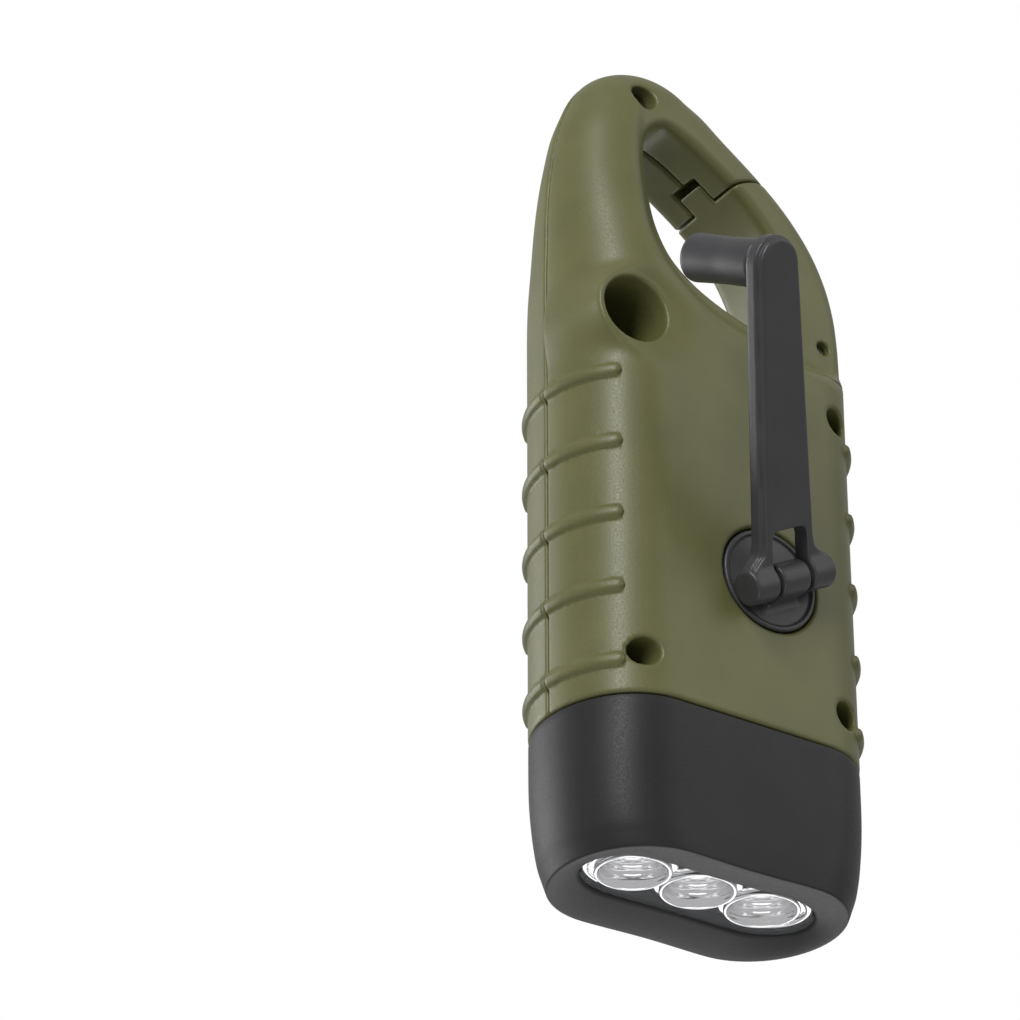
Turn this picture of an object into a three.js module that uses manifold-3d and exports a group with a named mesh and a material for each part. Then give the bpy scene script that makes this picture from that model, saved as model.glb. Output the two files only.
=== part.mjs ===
// Hand crank flashlight with a moulded carabiner hook.
// Millimetres, +Z up. The light stands on its head: the lens faces down and the hook is at the top.
// +X is the spine of the hook, -X its gate, -Y the solar side and +Y the crank side.
import * as THREE from 'three';
import { mergeVertices } from 'three/addons/utils/BufferGeometryUtils.js';
import Module from 'manifold-3d';

const wasm = await Module();
wasm.setup();

// Driving dimensions
const totalLength = 140;
const bodyWidth = 50.3;
const bodyDepth = 28.6;
const sideRounding = 12;
const edgeFlat = 0.4;
const wall = 2;
const capHeight = 22.4;
const hookDepth = 16;
const crankRadius = 45.2;
const gearModule = 0.6;
const ledPitch = 11.05;

// Clearances
const seam = 0.3;
const gap = 0.3;
const fit = 0.1;
const run = 0.06;
const overrun = 20;

// Counts and angles
const roundSides = 20;
const fineSides = 32;
const smallSides = 12;
const arcSteps = 4;
const quarter = Math.PI / 2;
const full = Math.PI * 2;
const crankHeading = THREE.MathUtils.degToRad(28.5);
const crankLift = THREE.MathUtils.degToRad(32);
const pressureAngle = THREE.MathUtils.degToRad(25);

const halfWidth = bodyWidth / 2;
const halfDepth = bodyDepth / 2;
const halfHook = hookDepth / 2;

// Outline of the hook and its gate on either side of the round crown, as shares of the half width and length
const spineShares = [
  [1, 0.7], [0.994, 0.743], [0.988, 0.786], [0.97, 0.8286], [0.938, 0.868], [0.897, 0.9036],
];
const crownShare = 0.358;
const crownRadius = 12.5;
const crownFrom = THREE.MathUtils.degToRad(20);
const crownTo = THREE.MathUtils.degToRad(125);
const gateSideShares = [
  [-0.06, 0.9702], [-0.199, 0.95], [-0.398, 0.9225], [-0.587, 0.893], [-0.736, 0.862],
  [-0.856, 0.827], [-0.943, 0.786], [-0.988, 0.743], [-1, 0.7],
];
// The eye of the hook
const eyeShares = [
  [0.318, 0.914], [0.429, 0.902], [0.473, 0.879], [0.473, 0.846], [0.445, 0.807], [0.394, 0.774],
  [0.298, 0.743], [0.159, 0.7214], [0, 0.7064], [-0.199, 0.694], [-0.398, 0.687], [-0.517, 0.687],
  [-0.577, 0.7036], [-0.588, 0.7357], [-0.553, 0.768], [-0.485, 0.7986], [-0.39, 0.827],
  [-0.266, 0.852], [-0.119, 0.8736], [0.04, 0.893], [0.179, 0.907],
];
// Edge of the sunk face round the eye; it leaves the body on the gate side and over the top
const sunkShares = [
  [-0.557, 0.666], [-0.159, 0.679], [0.08, 0.694], [0.278, 0.72], [0.41, 0.756], [0.477, 0.804],
  [0.513, 0.854], [0.513, 0.9], [0.485, 0.957],
];
const sunkBottomShare = 0.657;
const sunkRamp = 7;

const point = (x, z) => new THREE.Vector2(x, z);
const onBody = ([x, z]) => point(x * halfWidth, z * totalLength);

// A closed geometry as a solid that can be joined and cut
function toSolid(geometry) {
  geometry.deleteAttribute('normal');
  geometry.deleteAttribute('uv');
  const merged = mergeVertices(geometry);
  return new wasm.Manifold(new wasm.Mesh({
    numProp: 3,
    vertProperties: merged.attributes.position.array,
    triVerts: Uint32Array.from(merged.index.array),
  }));
}

function union(solids) {
  return solids.reduce((sum, next) => sum.add(next));
}

// An outline in XZ made into a plate between two places on Y
function plate(shape, low, high) {
  const geometry = new THREE.ExtrudeGeometry(shape, { depth: high - low, bevelEnabled: false, curveSegments: arcSteps });
  geometry.rotateX(quarter);
  geometry.translate(0, high, 0);
  return toSolid(geometry);
}

// An outline in XZ made into a pillow about the plane y = 0, with elliptic edges
function pillow(shape, depth, inset, steps = 6) {
  const geometry = new THREE.ExtrudeGeometry(shape, {
    depth: edgeFlat,
    bevelThickness: (depth - edgeFlat) / 2,
    bevelSize: inset,
    bevelOffset: -inset,
    bevelSegments: steps,
    curveSegments: arcSteps,
  });
  geometry.rotateX(quarter);
  geometry.translate(0, edgeFlat / 2, 0);
  return toSolid(geometry);
}

function block(xLow, xHigh, yLow, yHigh, zLow, zHigh) {
  const geometry = new THREE.BoxGeometry(xHigh - xLow, yHigh - yLow, zHigh - zLow);
  geometry.translate((xLow + xHigh) / 2, (yLow + yHigh) / 2, (zLow + zHigh) / 2);
  return toSolid(geometry);
}

function rodY(radius, low, high, x, z, sides = roundSides, highRadius = radius) {
  const geometry = new THREE.CylinderGeometry(highRadius, radius, high - low, sides);
  geometry.translate(x, (low + high) / 2, z);
  return toSolid(geometry);
}

function rodX(radius, low, high, y, z, sides = roundSides) {
  const geometry = new THREE.CylinderGeometry(radius, radius, high - low, sides);
  geometry.rotateZ(quarter);
  geometry.translate((low + high) / 2, y, z);
  return toSolid(geometry);
}

function rodZ(radius, low, high, x, y, sides = roundSides) {
  const geometry = new THREE.CylinderGeometry(radius, radius, high - low, sides);
  geometry.rotateX(quarter);
  geometry.translate(x, y, (low + high) / 2);
  return toSolid(geometry);
}

// Radius of a many-sided bore whose flats stay clear of a round shaft
const boreFor = (radius) => radius / Math.cos(Math.PI / roundSides);

// Closed profile turned about Z, given as radius and height pairs
function turned(profile, sides = roundSides) {
  const geometry = new THREE.LatheGeometry(profile.map(([radius, height]) => point(radius, height)), sides);
  geometry.rotateX(quarter);
  return toSolid(geometry);
}

// The same about Y
function turnedY(profile, sides = roundSides) {
  return toSolid(new THREE.LatheGeometry(profile.map(([radius, height]) => point(radius, height)), sides));
}

// Bar with round ends between two points of the XZ plane
function linkShape(from, to, radius) {
  const along = Math.atan2(to.y - from.y, to.x - from.x);
  const shape = new THREE.Shape();
  shape.absarc(to.x, to.y, radius, along - quarter, along + quarter, false);
  shape.absarc(from.x, from.y, radius, along + quarter, along + 3 * quarter, false);
  return shape;
}

// Flattened ring of the body: straight faces with elliptic sides
function ringPoints(halfX, halfY, sideReach, steps = 6) {
  const points = [];
  for (const side of [1, -1]) {
    for (let step = 0; step <= steps * 2; step += 1) {
      const angle = -quarter + (step / steps) * quarter;
      points.push(point(
        side * (halfX - sideReach + sideReach * Math.cos(angle)),
        side * halfY * Math.sin(angle),
      ));
    }
  }
  return points;
}

function ringPlate(halfX, halfY, sideReach, low, high) {
  const shape = new THREE.Shape(ringPoints(halfX, halfY, sideReach));
  const geometry = new THREE.ExtrudeGeometry(shape, { depth: high - low, bevelEnabled: false });
  geometry.translate(0, 0, low);
  return toSolid(geometry);
}

// Skin through rings of equal count, lowest first, closed by a fan at each end
function loft(rings) {
  const count = rings[0].points.length;
  const positions = [];
  const index = [];
  for (const ring of rings) {
    for (const spot of ring.points) positions.push(spot.x, spot.y, ring.height);
  }
  const bottom = rings.length * count;
  positions.push(0, 0, rings[0].height, 0, 0, rings[rings.length - 1].height);
  for (let row = 0; row < rings.length - 1; row += 1) {
    for (let step = 0; step < count; step += 1) {
      const a = row * count + step;
      const b = row * count + ((step + 1) % count);
      index.push(a, b, b + count, a, b + count, a + count);
    }
  }
  const last = (rings.length - 1) * count;
  for (let step = 0; step < count; step += 1) {
    const next = (step + 1) % count;
    index.push(bottom, next, step, bottom + 1, last + step, last + next);
  }
  const geometry = new THREE.BufferGeometry();
  geometry.setAttribute('position', new THREE.Float32BufferAttribute(positions, 3));
  geometry.setIndex(index);
  return toSolid(geometry);
}

// Turning a solid into a named mesh with its own material
const flashlight = new THREE.Group();

function addPart(name, solid, look, parent = flashlight) {
  const mesh = solid.getMesh();
  const geometry = new THREE.BufferGeometry();
  geometry.setAttribute('position', new THREE.BufferAttribute(new Float32Array(mesh.vertProperties), 3));
  geometry.setIndex(new THREE.BufferAttribute(new Uint32Array(mesh.triVerts), 1));
  const part = new THREE.Mesh(geometry, new THREE.MeshStandardMaterial(look));
  part.name = name;
  parent.add(part);
  return part;
}

const olive = { color: 0x60623e, roughness: 0.5, metalness: 0 };
const black = { color: 0x2d2d2e, roughness: 0.45, metalness: 0 };
const innerBlack = { color: 0x1f1f20, roughness: 0.6, metalness: 0 };
const chrome = { color: 0xd8d8da, roughness: 0.12, metalness: 1 };
const clear = { color: 0xe8eef0, roughness: 0.05, metalness: 0, transparent: true, opacity: 0.3 };
const steel = { color: 0x9a9a98, roughness: 0.35, metalness: 1 };
const brass = { color: 0xb08d4a, roughness: 0.35, metalness: 1 };
const nylon = { color: 0xe6e2d6, roughness: 0.5, metalness: 0 };
const board = { color: 0x1f5a34, roughness: 0.55, metalness: 0 };
const cell = { color: 0x967a5f, roughness: 0.3, metalness: 0 };
const magnet = { color: 0x3a3a3d, roughness: 0.6, metalness: 0.2 };
const copper = { color: 0xb4612e, roughness: 0.4, metalness: 1 };
const sleeve = { color: 0x3f6fb0, roughness: 0.4, metalness: 0 };
const redLead = { color: 0xa8231c, roughness: 0.5, metalness: 0 };

// ---------- Housing blank: the moulded outer form before it is split ----------
const shellBottom = capHeight + gap;
const blankBottom = capHeight - 2 * sideRounding;

function arcPoints(centre, radius, from, to, steps) {
  return Array.from({ length: steps + 1 }, (unused, step) => {
    const angle = from + (to - from) * step / steps;
    return point(centre.x + radius * Math.cos(angle), centre.y + radius * Math.sin(angle));
  });
}

function crownShape() {
  const centre = point(crownShare * halfWidth, totalLength - crownRadius);
  const crown = arcPoints(centre, crownRadius, crownFrom, crownTo, 11);
  const spine = new THREE.SplineCurve([...spineShares.map(onBody), crown[0]]).getPoints(9);
  const gateSide = new THREE.SplineCurve([crown[crown.length - 1], ...gateSideShares.map(onBody)]).getPoints(14);
  return new THREE.Shape([
    point(halfWidth, blankBottom), ...spine, ...crown.slice(1), ...gateSide.slice(1), point(-halfWidth, blankBottom),
  ]);
}

const eyeShape = new THREE.Shape(new THREE.SplineCurve([...eyeShares, eyeShares[0]].map(onBody)).getPoints(42));

// Tool that sinks the face round the eye on one side: its floor is the given height
function sunkTool(floor, side) {
  const edge = new THREE.SplineCurve(sunkShares.map(onBody)).getPoints(14);
  const beyond = halfWidth + overrun;
  const shape = new THREE.Shape([
    point(-beyond, sunkBottomShare * totalLength),
    ...edge,
    point(edge[edge.length - 1].x, totalLength + overrun),
    point(-beyond, totalLength + overrun),
  ]);
  const rise = halfDepth - floor;
  const geometry = new THREE.ExtrudeGeometry(shape, {
    depth: overrun, bevelThickness: rise, bevelSize: sunkRamp, bevelOffset: 0, bevelSegments: 1,
  });
  geometry.rotateX(quarter);
  geometry.translate(0, side > 0 ? floor + rise + overrun : -floor - rise, 0);
  return toSolid(geometry);
}

// Finger ribs: bars with round ends that run round both sides
const ribCount = 5;
const ribLowest = 27.85;
const ribPitch = 11.88;
const ribWidth = 3;
const ribHeight = 0.9;
const ribEnd = 19.8;

function fingerRibs() {
  const reach = halfWidth + ribHeight;
  const top = ribLowest + ribCount * ribPitch;
  const grown = new THREE.Shape([
    point(reach, blankBottom), point(reach, top), point(-reach, top), point(-reach, blankBottom),
  ]);
  const bars = [];
  for (const side of [1, -1]) {
    for (let count = 0; count < ribCount; count += 1) {
      const height = ribLowest + count * ribPitch;
      const link = linkShape(point(side * ribEnd, height), point(side * (halfWidth + overrun), height), ribWidth / 2);
      bars.push(plate(link, -halfDepth - overrun, halfDepth + overrun));
    }
  }
  return pillow(grown, bodyDepth + 2 * ribHeight, sideRounding + ribHeight).intersect(union(bars));
}

const hookBlank = pillow(crownShape(), bodyDepth, sideRounding)
  .subtract(sunkTool(halfHook, 1))
  .subtract(sunkTool(halfHook, -1));
const trim = block(-halfWidth - overrun, halfWidth + overrun, -halfDepth - overrun, halfDepth + overrun,
  shellBottom, totalLength + overrun);
const eyeHole = plate(eyeShape, -halfDepth - overrun, halfDepth + overrun);
const blank = hookBlank.intersect(trim).subtract(eyeHole);

// Hollow of the housing, set in from the outside by the wall and any extra clearance
const hollowTop = 84.5;

function hollow(extra) {
  const reach = halfWidth - wall - extra;
  const shape = new THREE.Shape([
    point(reach, blankBottom), point(reach, hollowTop - extra),
    point(-reach, hollowTop - extra), point(-reach, blankBottom),
  ]);
  return pillow(shape, bodyDepth - 2 * wall - 2 * extra, sideRounding - wall, 5);
}

// ---------- Carabiner gate ----------
const gatePivot = point(-20, 95);
const gateTipRadius = 28.8;
const gateHeelRadius = 7.6;
const gateSlotRadius = 8.2;
const tongueRadius = 6.3;
const tongueHalf = 3.5;
const tongueNeck = 9;
const tongueNeckHalf = 3.6;
const gatePinRadius = 1.1;
const gatePinProud = 0.25;
const springRadius = 2.4;
const springWire = 0.4;
const springTurns = 3;
const springPitch = 0.95;
const springRoom = 3.3;
const springRoomHalf = 1.9;

// The gate's share of the hook: an arc about the pivot cuts it from the nose, a smaller one from the body
function gateZone(extra) {
  const across = new THREE.Shape([
    point(-halfWidth - overrun, gatePivot.y), gatePivot, onBody([-0.537, 0.7]), onBody([-0.16, 0.8]),
    onBody([-0.08, 0.843]), onBody([-0.16, 0.9]), point(-halfWidth - overrun, totalLength),
  ]);
  const tip = rodY(gateTipRadius + extra, -halfDepth - overrun, halfDepth + overrun,
    gatePivot.x, gatePivot.y, fineSides * 2);
  const heel = rodY(gateHeelRadius + extra, -halfDepth - overrun, halfDepth + overrun,
    gatePivot.x, gatePivot.y, fineSides);
  return plate(across, -halfDepth - overrun, halfDepth + overrun).intersect(tip).add(heel);
}

const gate = blank.intersect(gateZone(0))
  .subtract(rodY(gateSlotRadius, -tongueHalf - gap, tongueHalf + gap, gatePivot.x, gatePivot.y, fineSides))
  .subtract(rodY(boreFor(gatePinRadius + run), -halfDepth, halfDepth, gatePivot.x, gatePivot.y));

// Tongue of the housing that stands between the gate's cheeks and carries the rivet
function tongue() {
  const disc = rodY(tongueRadius, -tongueHalf, tongueHalf, gatePivot.x, gatePivot.y, fineSides);
  const root = point(gatePivot.x + tongueNeck * 0.6, gatePivot.y - tongueNeck * 0.8);
  const neck = plate(linkShape(gatePivot, root, tongueNeckHalf), -tongueHalf, tongueHalf);
  return disc.add(neck).intersect(hookBlank)
    .subtract(rodY(springRoom, -springRoomHalf, springRoomHalf, gatePivot.x, gatePivot.y))
    .subtract(rodY(gatePinRadius + run, -halfDepth, halfDepth, gatePivot.x, gatePivot.y));
}

class Coil extends THREE.Curve {
  getPoint(share, target = new THREE.Vector3()) {
    const angle = share * springTurns * full;
    return target.set(
      gatePivot.x + springRadius * Math.cos(angle),
      (share - 0.5) * springTurns * springPitch,
      gatePivot.y + springRadius * Math.sin(angle),
    );
  }
}

function tube(curve, radius, steps) {
  const section = new THREE.Shape();
  section.absarc(0, 0, radius, 0, full, false);
  return toSolid(new THREE.ExtrudeGeometry(section, {
    steps, extrudePath: curve, bevelEnabled: false, curveSegments: 3,
  }));
}

// ---------- Screws that close the housing ----------
const lowerScrewSpread = 17.5;
const lowerScrewHeight = 29.3;
const screwPlaces = [
  point(lowerScrewSpread, lowerScrewHeight),
  point(-lowerScrewSpread, lowerScrewHeight),
  onBody([-0.716, 0.563]),
  onBody([0.549, 0.921]),
];
const bossRadius = 2.9;
const wellRadius = 2.2;
const screwHeadRadius = 1.9;
const screwHeadHeight = 1.8;
const screwHeadSeat = 3.1;
const screwShank = 0.9;
const screwReach = 6.4;
const screwDriveWidth = 0.6;
const screwDriveDepth = 0.8;
const screwDriveLength = 2.4;

function crossSlot(place, bottom, top) {
  const half = screwDriveLength / 2;
  const thin = screwDriveWidth / 2;
  return block(place.x - half, place.x + half, bottom, top, place.y - thin, place.y + thin)
    .add(block(place.x - thin, place.x + thin, bottom, top, place.y - half, place.y + half));
}

function shellScrew(place) {
  const under = screwHeadSeat + gap;
  const top = under + screwHeadHeight;
  return rodY(screwHeadRadius, under, top, place.x, place.y)
    .add(rodY(screwShank, -screwReach, under + screwHeadHeight / 2, place.x, place.y, smallSides))
    .subtract(crossSlot(place, top - screwDriveDepth, top + overrun));
}

// ---------- Head places: rings of the cap as shares of its height, half width and half depth ----------
const capShares = [
  [0, 0.845, 0.7], [0.012, 0.885, 0.76], [0.05, 0.93, 0.835], [0.13, 0.965, 0.89],
  [0.31, 0.986, 0.94], [0.62, 0.999, 0.99], [1, 1, 1],
];
const bezelWall = 1.6;
const capInsideWidth = 42.8;
const capInsideDepth = 21.6;
const capInsideSide = 9;
const neckRise = 3.2;
const windowWide = 34.4;
const windowDeep = 12.2;
const lensThickness = 1.2;
const gasketWidth = 0.5;
const flangePlate = 1.2;
const cupRadius = 5.2;
const cupWall = 0.8;
const cupDepth = 9.2;
const ledRadius = 2.45;
const ledFlange = 2.85;
const ledFlangeHeight = 1.2;
const ledLength = 7.9;
const ledBoardThickness = 1.4;
const postSpread = 5.6;
const postSide = 7.6;
const postThick = 1.1;

const lensBack = bezelWall + gap;
const reflectorFace = lensBack + lensThickness + gap;
const reflectorBack = reflectorFace + cupDepth;
const ledBase = reflectorBack + 2 * gap + ledFlangeHeight;
const ledBoardFace = ledBase + gap;

// ---------- Crank train places ----------
const hubPlace = point(-3.8, 46.7);
const hubRadius = 8;
const hubRecessFloor = 12.3;
const hubTop = 14.3;
const hingeHeight = 17.1;
const hingeBack = 1.2;
const knuckleRadius = 2.55;
const knuckleHalf = 3;
const barrelHalf = 8;
const hingePinRadius = 1;
const armUnder = 1.6;
const armOver = 1.2;
const armRootHalf = 5.6;
const armTipHalf = 4.3;
const slotTop = 8.4;
const knobRadius = 3.5;
const knobWaist = 3.3;
const knobLength = 13.8;
const knobEdge = 0.9;
const knobPinRadius = 1;
const knobPinHead = 1.9;
const knobPinHeadHeight = 1.1;
const knobPinBite = 2;
const shaftRadius = 1.5;
const bushRadius = 3;

const heading = (angle) => point(Math.sin(angle), Math.cos(angle));
const crankDirection = heading(crankHeading);
const pocketShift = 1;
const pocketPlace = point(
  hubPlace.x + crankDirection.x * (crankRadius + pocketShift - hingeBack),
  hubPlace.y + crankDirection.y * (crankRadius + pocketShift - hingeBack),
);
const pocketRadius = 5.2;
const pocketMouth = 5.5;
const pocketCollar = 6.3;
const pocketCollarTop = 12.9;
const pocketSwell = 7.2;
const pocketSwellBase = 3;
const pocketDish = 9.6;
const pocketFloor = 0.9;
const pocketFlare = 2.5;

// Gear train: tooth counts, layers on Y and centres
const driveTeeth = 32;
const wheelTeeth = 30;
const pinionTeeth = 10;
const addendumShare = 0.8;
const dedendumShare = 1.1;
const toothSlack = 0.09;
const plateLow = -0.6;
const plateHigh = 0.9;
const wheelThickness = 2.1;
const layerGap = 0.5;
const layerThree = plateHigh + 1.1;
const layerTwo = layerThree + wheelThickness + layerGap;
const layerOne = layerTwo + wheelThickness + layerGap;
const driveCentres = gearModule * (driveTeeth + pinionTeeth) / 2;
const wheelCentres = gearModule * (wheelTeeth + pinionTeeth) / 2;
const polar = (from, distance, degrees) => point(
  from.x + distance * Math.cos(THREE.MathUtils.degToRad(degrees)),
  from.y + distance * Math.sin(THREE.MathUtils.degToRad(degrees)),
);
const idlerOnePlace = polar(hubPlace, driveCentres, 49);
const idlerTwoPlace = polar(idlerOnePlace, wheelCentres, -60);
const rotorPlace = polar(idlerTwoPlace, wheelCentres, -125);
const angleTo = (from, to) => Math.atan2(to.y - from.y, to.x - from.x);

const axleRadius = 0.8;
const axleTop = 11.6;
const axleBoss = 2.2;
const postPlaces = [polar(hubPlace, 14, 114), polar(idlerOnePlace, 14.3, 9), polar(hubPlace, 15, 252)];
const postRadius = 2.2;
const plateArm = 3;
const plateScrewHead = 1.6;
const plateScrewHeadHeight = 1.3;
const plateScrewShank = 0.75;
const plateScrewReach = 6;

// ---------- Solar panel places ----------
const frameHalfWidth = 15.5;
const frameBottom = 28.2;
const frameShoulder = 75.8;
const frameCrown = 78.5;
const frameCorner = 3;
const frameProud = 1.3;
const panelFloor = 12.6;
const panelPad = 1.4;
const padHalfWidth = 17;
const windowHalfWidth = 10;
const windowBottom = 34.2;
const windowTop = 69.8;
const rebate = 1.9;
const lip = 0.8;
const cellThickness = 0.8;
const glassThickness = 0.8;

function frameShape(extra) {
  const half = frameHalfWidth + extra;
  const bottom = frameBottom - extra;
  const shoulder = frameShoulder + extra;
  const shape = new THREE.Shape();
  shape.moveTo(-half + frameCorner, bottom);
  shape.lineTo(half - frameCorner, bottom);
  shape.quadraticCurveTo(half, bottom, half, bottom + frameCorner);
  shape.lineTo(half, shoulder - frameCorner);
  shape.quadraticCurveTo(half, shoulder, half - frameCorner, shoulder + frameCorner / 6);
  shape.quadraticCurveTo(0, 2 * (frameCrown + extra) - shoulder, -half + frameCorner, shoulder + frameCorner / 6);
  shape.quadraticCurveTo(-half, shoulder, -half, shoulder - frameCorner);
  shape.lineTo(-half, bottom + frameCorner);
  shape.quadraticCurveTo(-half, bottom, -half + frameCorner, bottom);
  return shape;
}

// Oblong opening whose opposite corners are cut round
function windowShape(extra) {
  const half = windowHalfWidth + extra;
  const bottom = windowBottom - extra;
  const top = windowTop + extra;
  const round = windowHalfWidth / 6;
  const shape = new THREE.Shape();
  shape.moveTo(-half, bottom);
  shape.lineTo(half - round, bottom);
  shape.quadraticCurveTo(half, bottom, half, bottom + round);
  shape.lineTo(half, top);
  shape.lineTo(-half + round, top);
  shape.quadraticCurveTo(-half, top, -half, top - round);
  return shape;
}

// ---------- Button and its switch ----------
const buttonHeight = 35;
const buttonRadius = 2.8;
const buttonProud = ribHeight;
const buttonTravel = 0.6;
const flangeRadius = 3.5;
const flangeThickness = 0.9;
const flangeInset = 2.8;
const stemRadius = 1;
const stemLength = 0.6;
const switchHalf = 2.25;
const switchThickness = 2.8;
const plungerLength = 0.9;
const boardThickness = 1.2;
const boardHalf = 7;
const boardBottom = 32.6;
const boardTop = 52;
const flangeFace = -halfWidth + flangeInset;
const stemEnd = flangeFace + flangeThickness + stemLength;
const plungerEnd = stemEnd + buttonTravel + fit;
const switchFace = plungerEnd + plungerLength;
const boardFace = switchFace + switchThickness + gap;

// ---------- Generator places ----------
const canRadius = 9.6;
const canWall = 0.8;
const canTop = plateLow - gap;
const canBottom = -panelFloor + panelPad + gap;
const magnetRadius = 5.6;
const bobbinInner = 6.2;
const rotorShaftRadius = 0.75;
const cradleWall = 1;
const cradleRise = 4;

// ---------- Battery places ----------
const cellCount = 3;
const cellRadius = 7.4;
const cellLength = 5.2;
const stackStart = -12.1;
const stackHeight = 75;
const trayWall = 1;
const trayTop = -1;
const trayHalfHeight = 8;

// ---------- Back shell ----------
function shellHalf(side) {
  const outer = blank.add(fingerRibs()).intersect(trim);
  const half = side > 0
    ? block(-halfWidth - overrun, halfWidth + overrun, seam / 2, halfDepth + overrun, 0, totalLength + overrun)
    : block(-halfWidth - overrun, halfWidth + overrun, -halfDepth - overrun, -seam / 2, 0, totalLength + overrun);
  return outer.subtract(hollow(0)).subtract(gateZone(gap)).add(tongue()).intersect(half);
}

function backShell() {
  const low = seam / 2;
  const skin = blank.subtract(gateZone(gap));
  const pad = rodY(hubRadius + gap + wall, hubRecessFloor - wall, halfDepth, hubPlace.x, hubPlace.y, fineSides);
  const nose = rodY(bushRadius + wall, layerOne + wheelThickness + gap, halfDepth, hubPlace.x, hubPlace.y);
  const bosses = screwPlaces.map((place) => rodY(bossRadius, low, halfDepth, place.x, place.y));
  const axleBosses = [
    rodY(axleBoss, layerOne + wheelThickness + gap + fit, halfDepth, idlerOnePlace.x, idlerOnePlace.y),
    rodY(axleBoss, layerOne + gap, halfDepth, idlerTwoPlace.x, idlerTwoPlace.y),
  ];
  const posts = postPlaces.map((place) => rodY(postRadius, plateHigh + gap, halfDepth, place.x, place.y));
  const cup = rodY(pocketCollar, low, halfDepth, pocketPlace.x, pocketPlace.y, fineSides);
  const swell = rodY(pocketSwell, pocketSwellBase, pocketCollarTop, pocketPlace.x, pocketPlace.y, fineSides,
    pocketCollar).subtract(hollow(0));
  const inner = union([pad, nose, cup, ...bosses, ...axleBosses, ...posts]).intersect(skin);
  const floor = low + pocketFloor;
  const pocket = rodY(pocketRadius, floor, halfDepth + overrun, pocketPlace.x, pocketPlace.y, fineSides)
    .add(rodY(pocketRadius, pocketCollarTop - pocketFlare, pocketCollarTop, pocketPlace.x, pocketPlace.y,
      fineSides, pocketMouth))
    .add(rodY(pocketCollar, pocketCollarTop, halfDepth + fit, pocketPlace.x, pocketPlace.y, fineSides, pocketDish));
  const wells = screwPlaces.map((place) => rodY(wellRadius, screwHeadSeat, halfDepth + overrun, place.x, place.y)
    .add(rodY(screwShank + fit, -overrun, halfDepth, place.x, place.y)));
  const pins = [
    ...postPlaces.map((place) => rodY(plateScrewShank + run, 0, plateScrewReach + gap, place.x, place.y, smallSides)),
    ...[idlerOnePlace, idlerTwoPlace].map((place) => rodY(axleRadius + run, 0, axleTop + gap, place.x, place.y)),
  ];
  const recess = rodY(hubRadius + gap, hubRecessFloor, halfDepth + overrun, hubPlace.x, hubPlace.y, fineSides);
  const bore = rodY(bushRadius + fit, 0, halfDepth, hubPlace.x, hubPlace.y);
  return shellHalf(1).add(inner).add(swell)
    .subtract(union([pocket, recess, bore, buttonBore(), ...wells, ...pins]));
}

function buttonBore() {
  return rodX(buttonRadius + fit, -halfWidth - overrun, flangeFace + flangeThickness, 0, buttonHeight);
}

// ---------- Front shell ----------
function boardClips() {
  const grip = boardHalf - 1.5 * wall;
  const sides = [boardFace - gap - wall / 2, boardFace + boardThickness + gap + wall / 2];
  const middle = (boardBottom + boardTop) / 2;
  return union(sides.map((x) => block(x - wall / 2, x + wall / 2, -halfDepth, -grip, middle - wall, middle + wall)));
}

function frontShell() {
  const low = -seam / 2;
  const skin = blank.subtract(gateZone(gap));
  const bosses = screwPlaces.map((place) => rodY(bossRadius, -halfDepth, low, place.x, place.y));
  const pad = block(-padHalfWidth, padHalfWidth, -halfDepth, -panelFloor + panelPad,
    frameBottom - wall, frameCrown + wall);
  const cradle = rodY(canRadius + gap + cradleWall, -halfDepth, canBottom + cradleRise, rotorPlace.x, rotorPlace.y)
    .subtract(rodY(boreFor(canRadius + gap), canBottom - gap, halfDepth, rotorPlace.x, rotorPlace.y))
    .subtract(block(-halfWidth, halfWidth, -halfDepth, halfDepth, 0, capHeight + neckRise + gap));
  const inner = union([pad, cradle, boardClips(), ...bosses]).intersect(skin);
  const pilots = screwPlaces.map((place) => rodY(screwShank + fit, -screwReach - gap, halfDepth, place.x, place.y));
  const recess = plate(frameShape(gap), -halfDepth - overrun, -panelFloor);
  return shellHalf(-1).add(inner).subtract(union([recess, buttonBore(), ...pilots]));
}

addPart('front_shell', frontShell(), olive);
addPart('back_shell', backShell(), olive);
addPart('carabiner_gate', gate, olive);
addPart('gate_pin', rodY(gatePinRadius, -halfHook - gatePinProud, halfHook + gatePinProud,
  gatePivot.x, gatePivot.y), steel);
addPart('gate_spring', tube(new Coil(), springWire, springTurns * smallSides), steel);
screwPlaces.forEach((place, order) => addPart(`shell_screw_${order + 1}`, shellScrew(place), steel));

// ---------- Head: cap, lens, reflector, LEDs and their board ----------
// Oblong in the XY plane, set in from the inside of the cap
function capInside(extra, low, high) {
  return ringPlate(capInsideWidth / 2 - extra, capInsideDepth / 2 - extra, capInsideSide, low, high);
}

function headCap() {
  const outer = loft(capShares.map(([rise, wide, deep]) => ({
    height: rise * capHeight,
    points: ringPoints(wide * halfWidth, deep * halfDepth, sideRounding),
  })));
  const neck = ringPlate(halfWidth - wall - gap, halfDepth - wall - gap, sideRounding - wall,
    capHeight / 2, capHeight + neckRise);
  const opening = ringPlate(windowWide / 2, windowDeep / 2, windowDeep / 2, -overrun, bezelWall + overrun);
  return outer.add(neck).subtract(capInside(0, bezelWall, capHeight + overrun)).subtract(opening);
}

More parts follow.
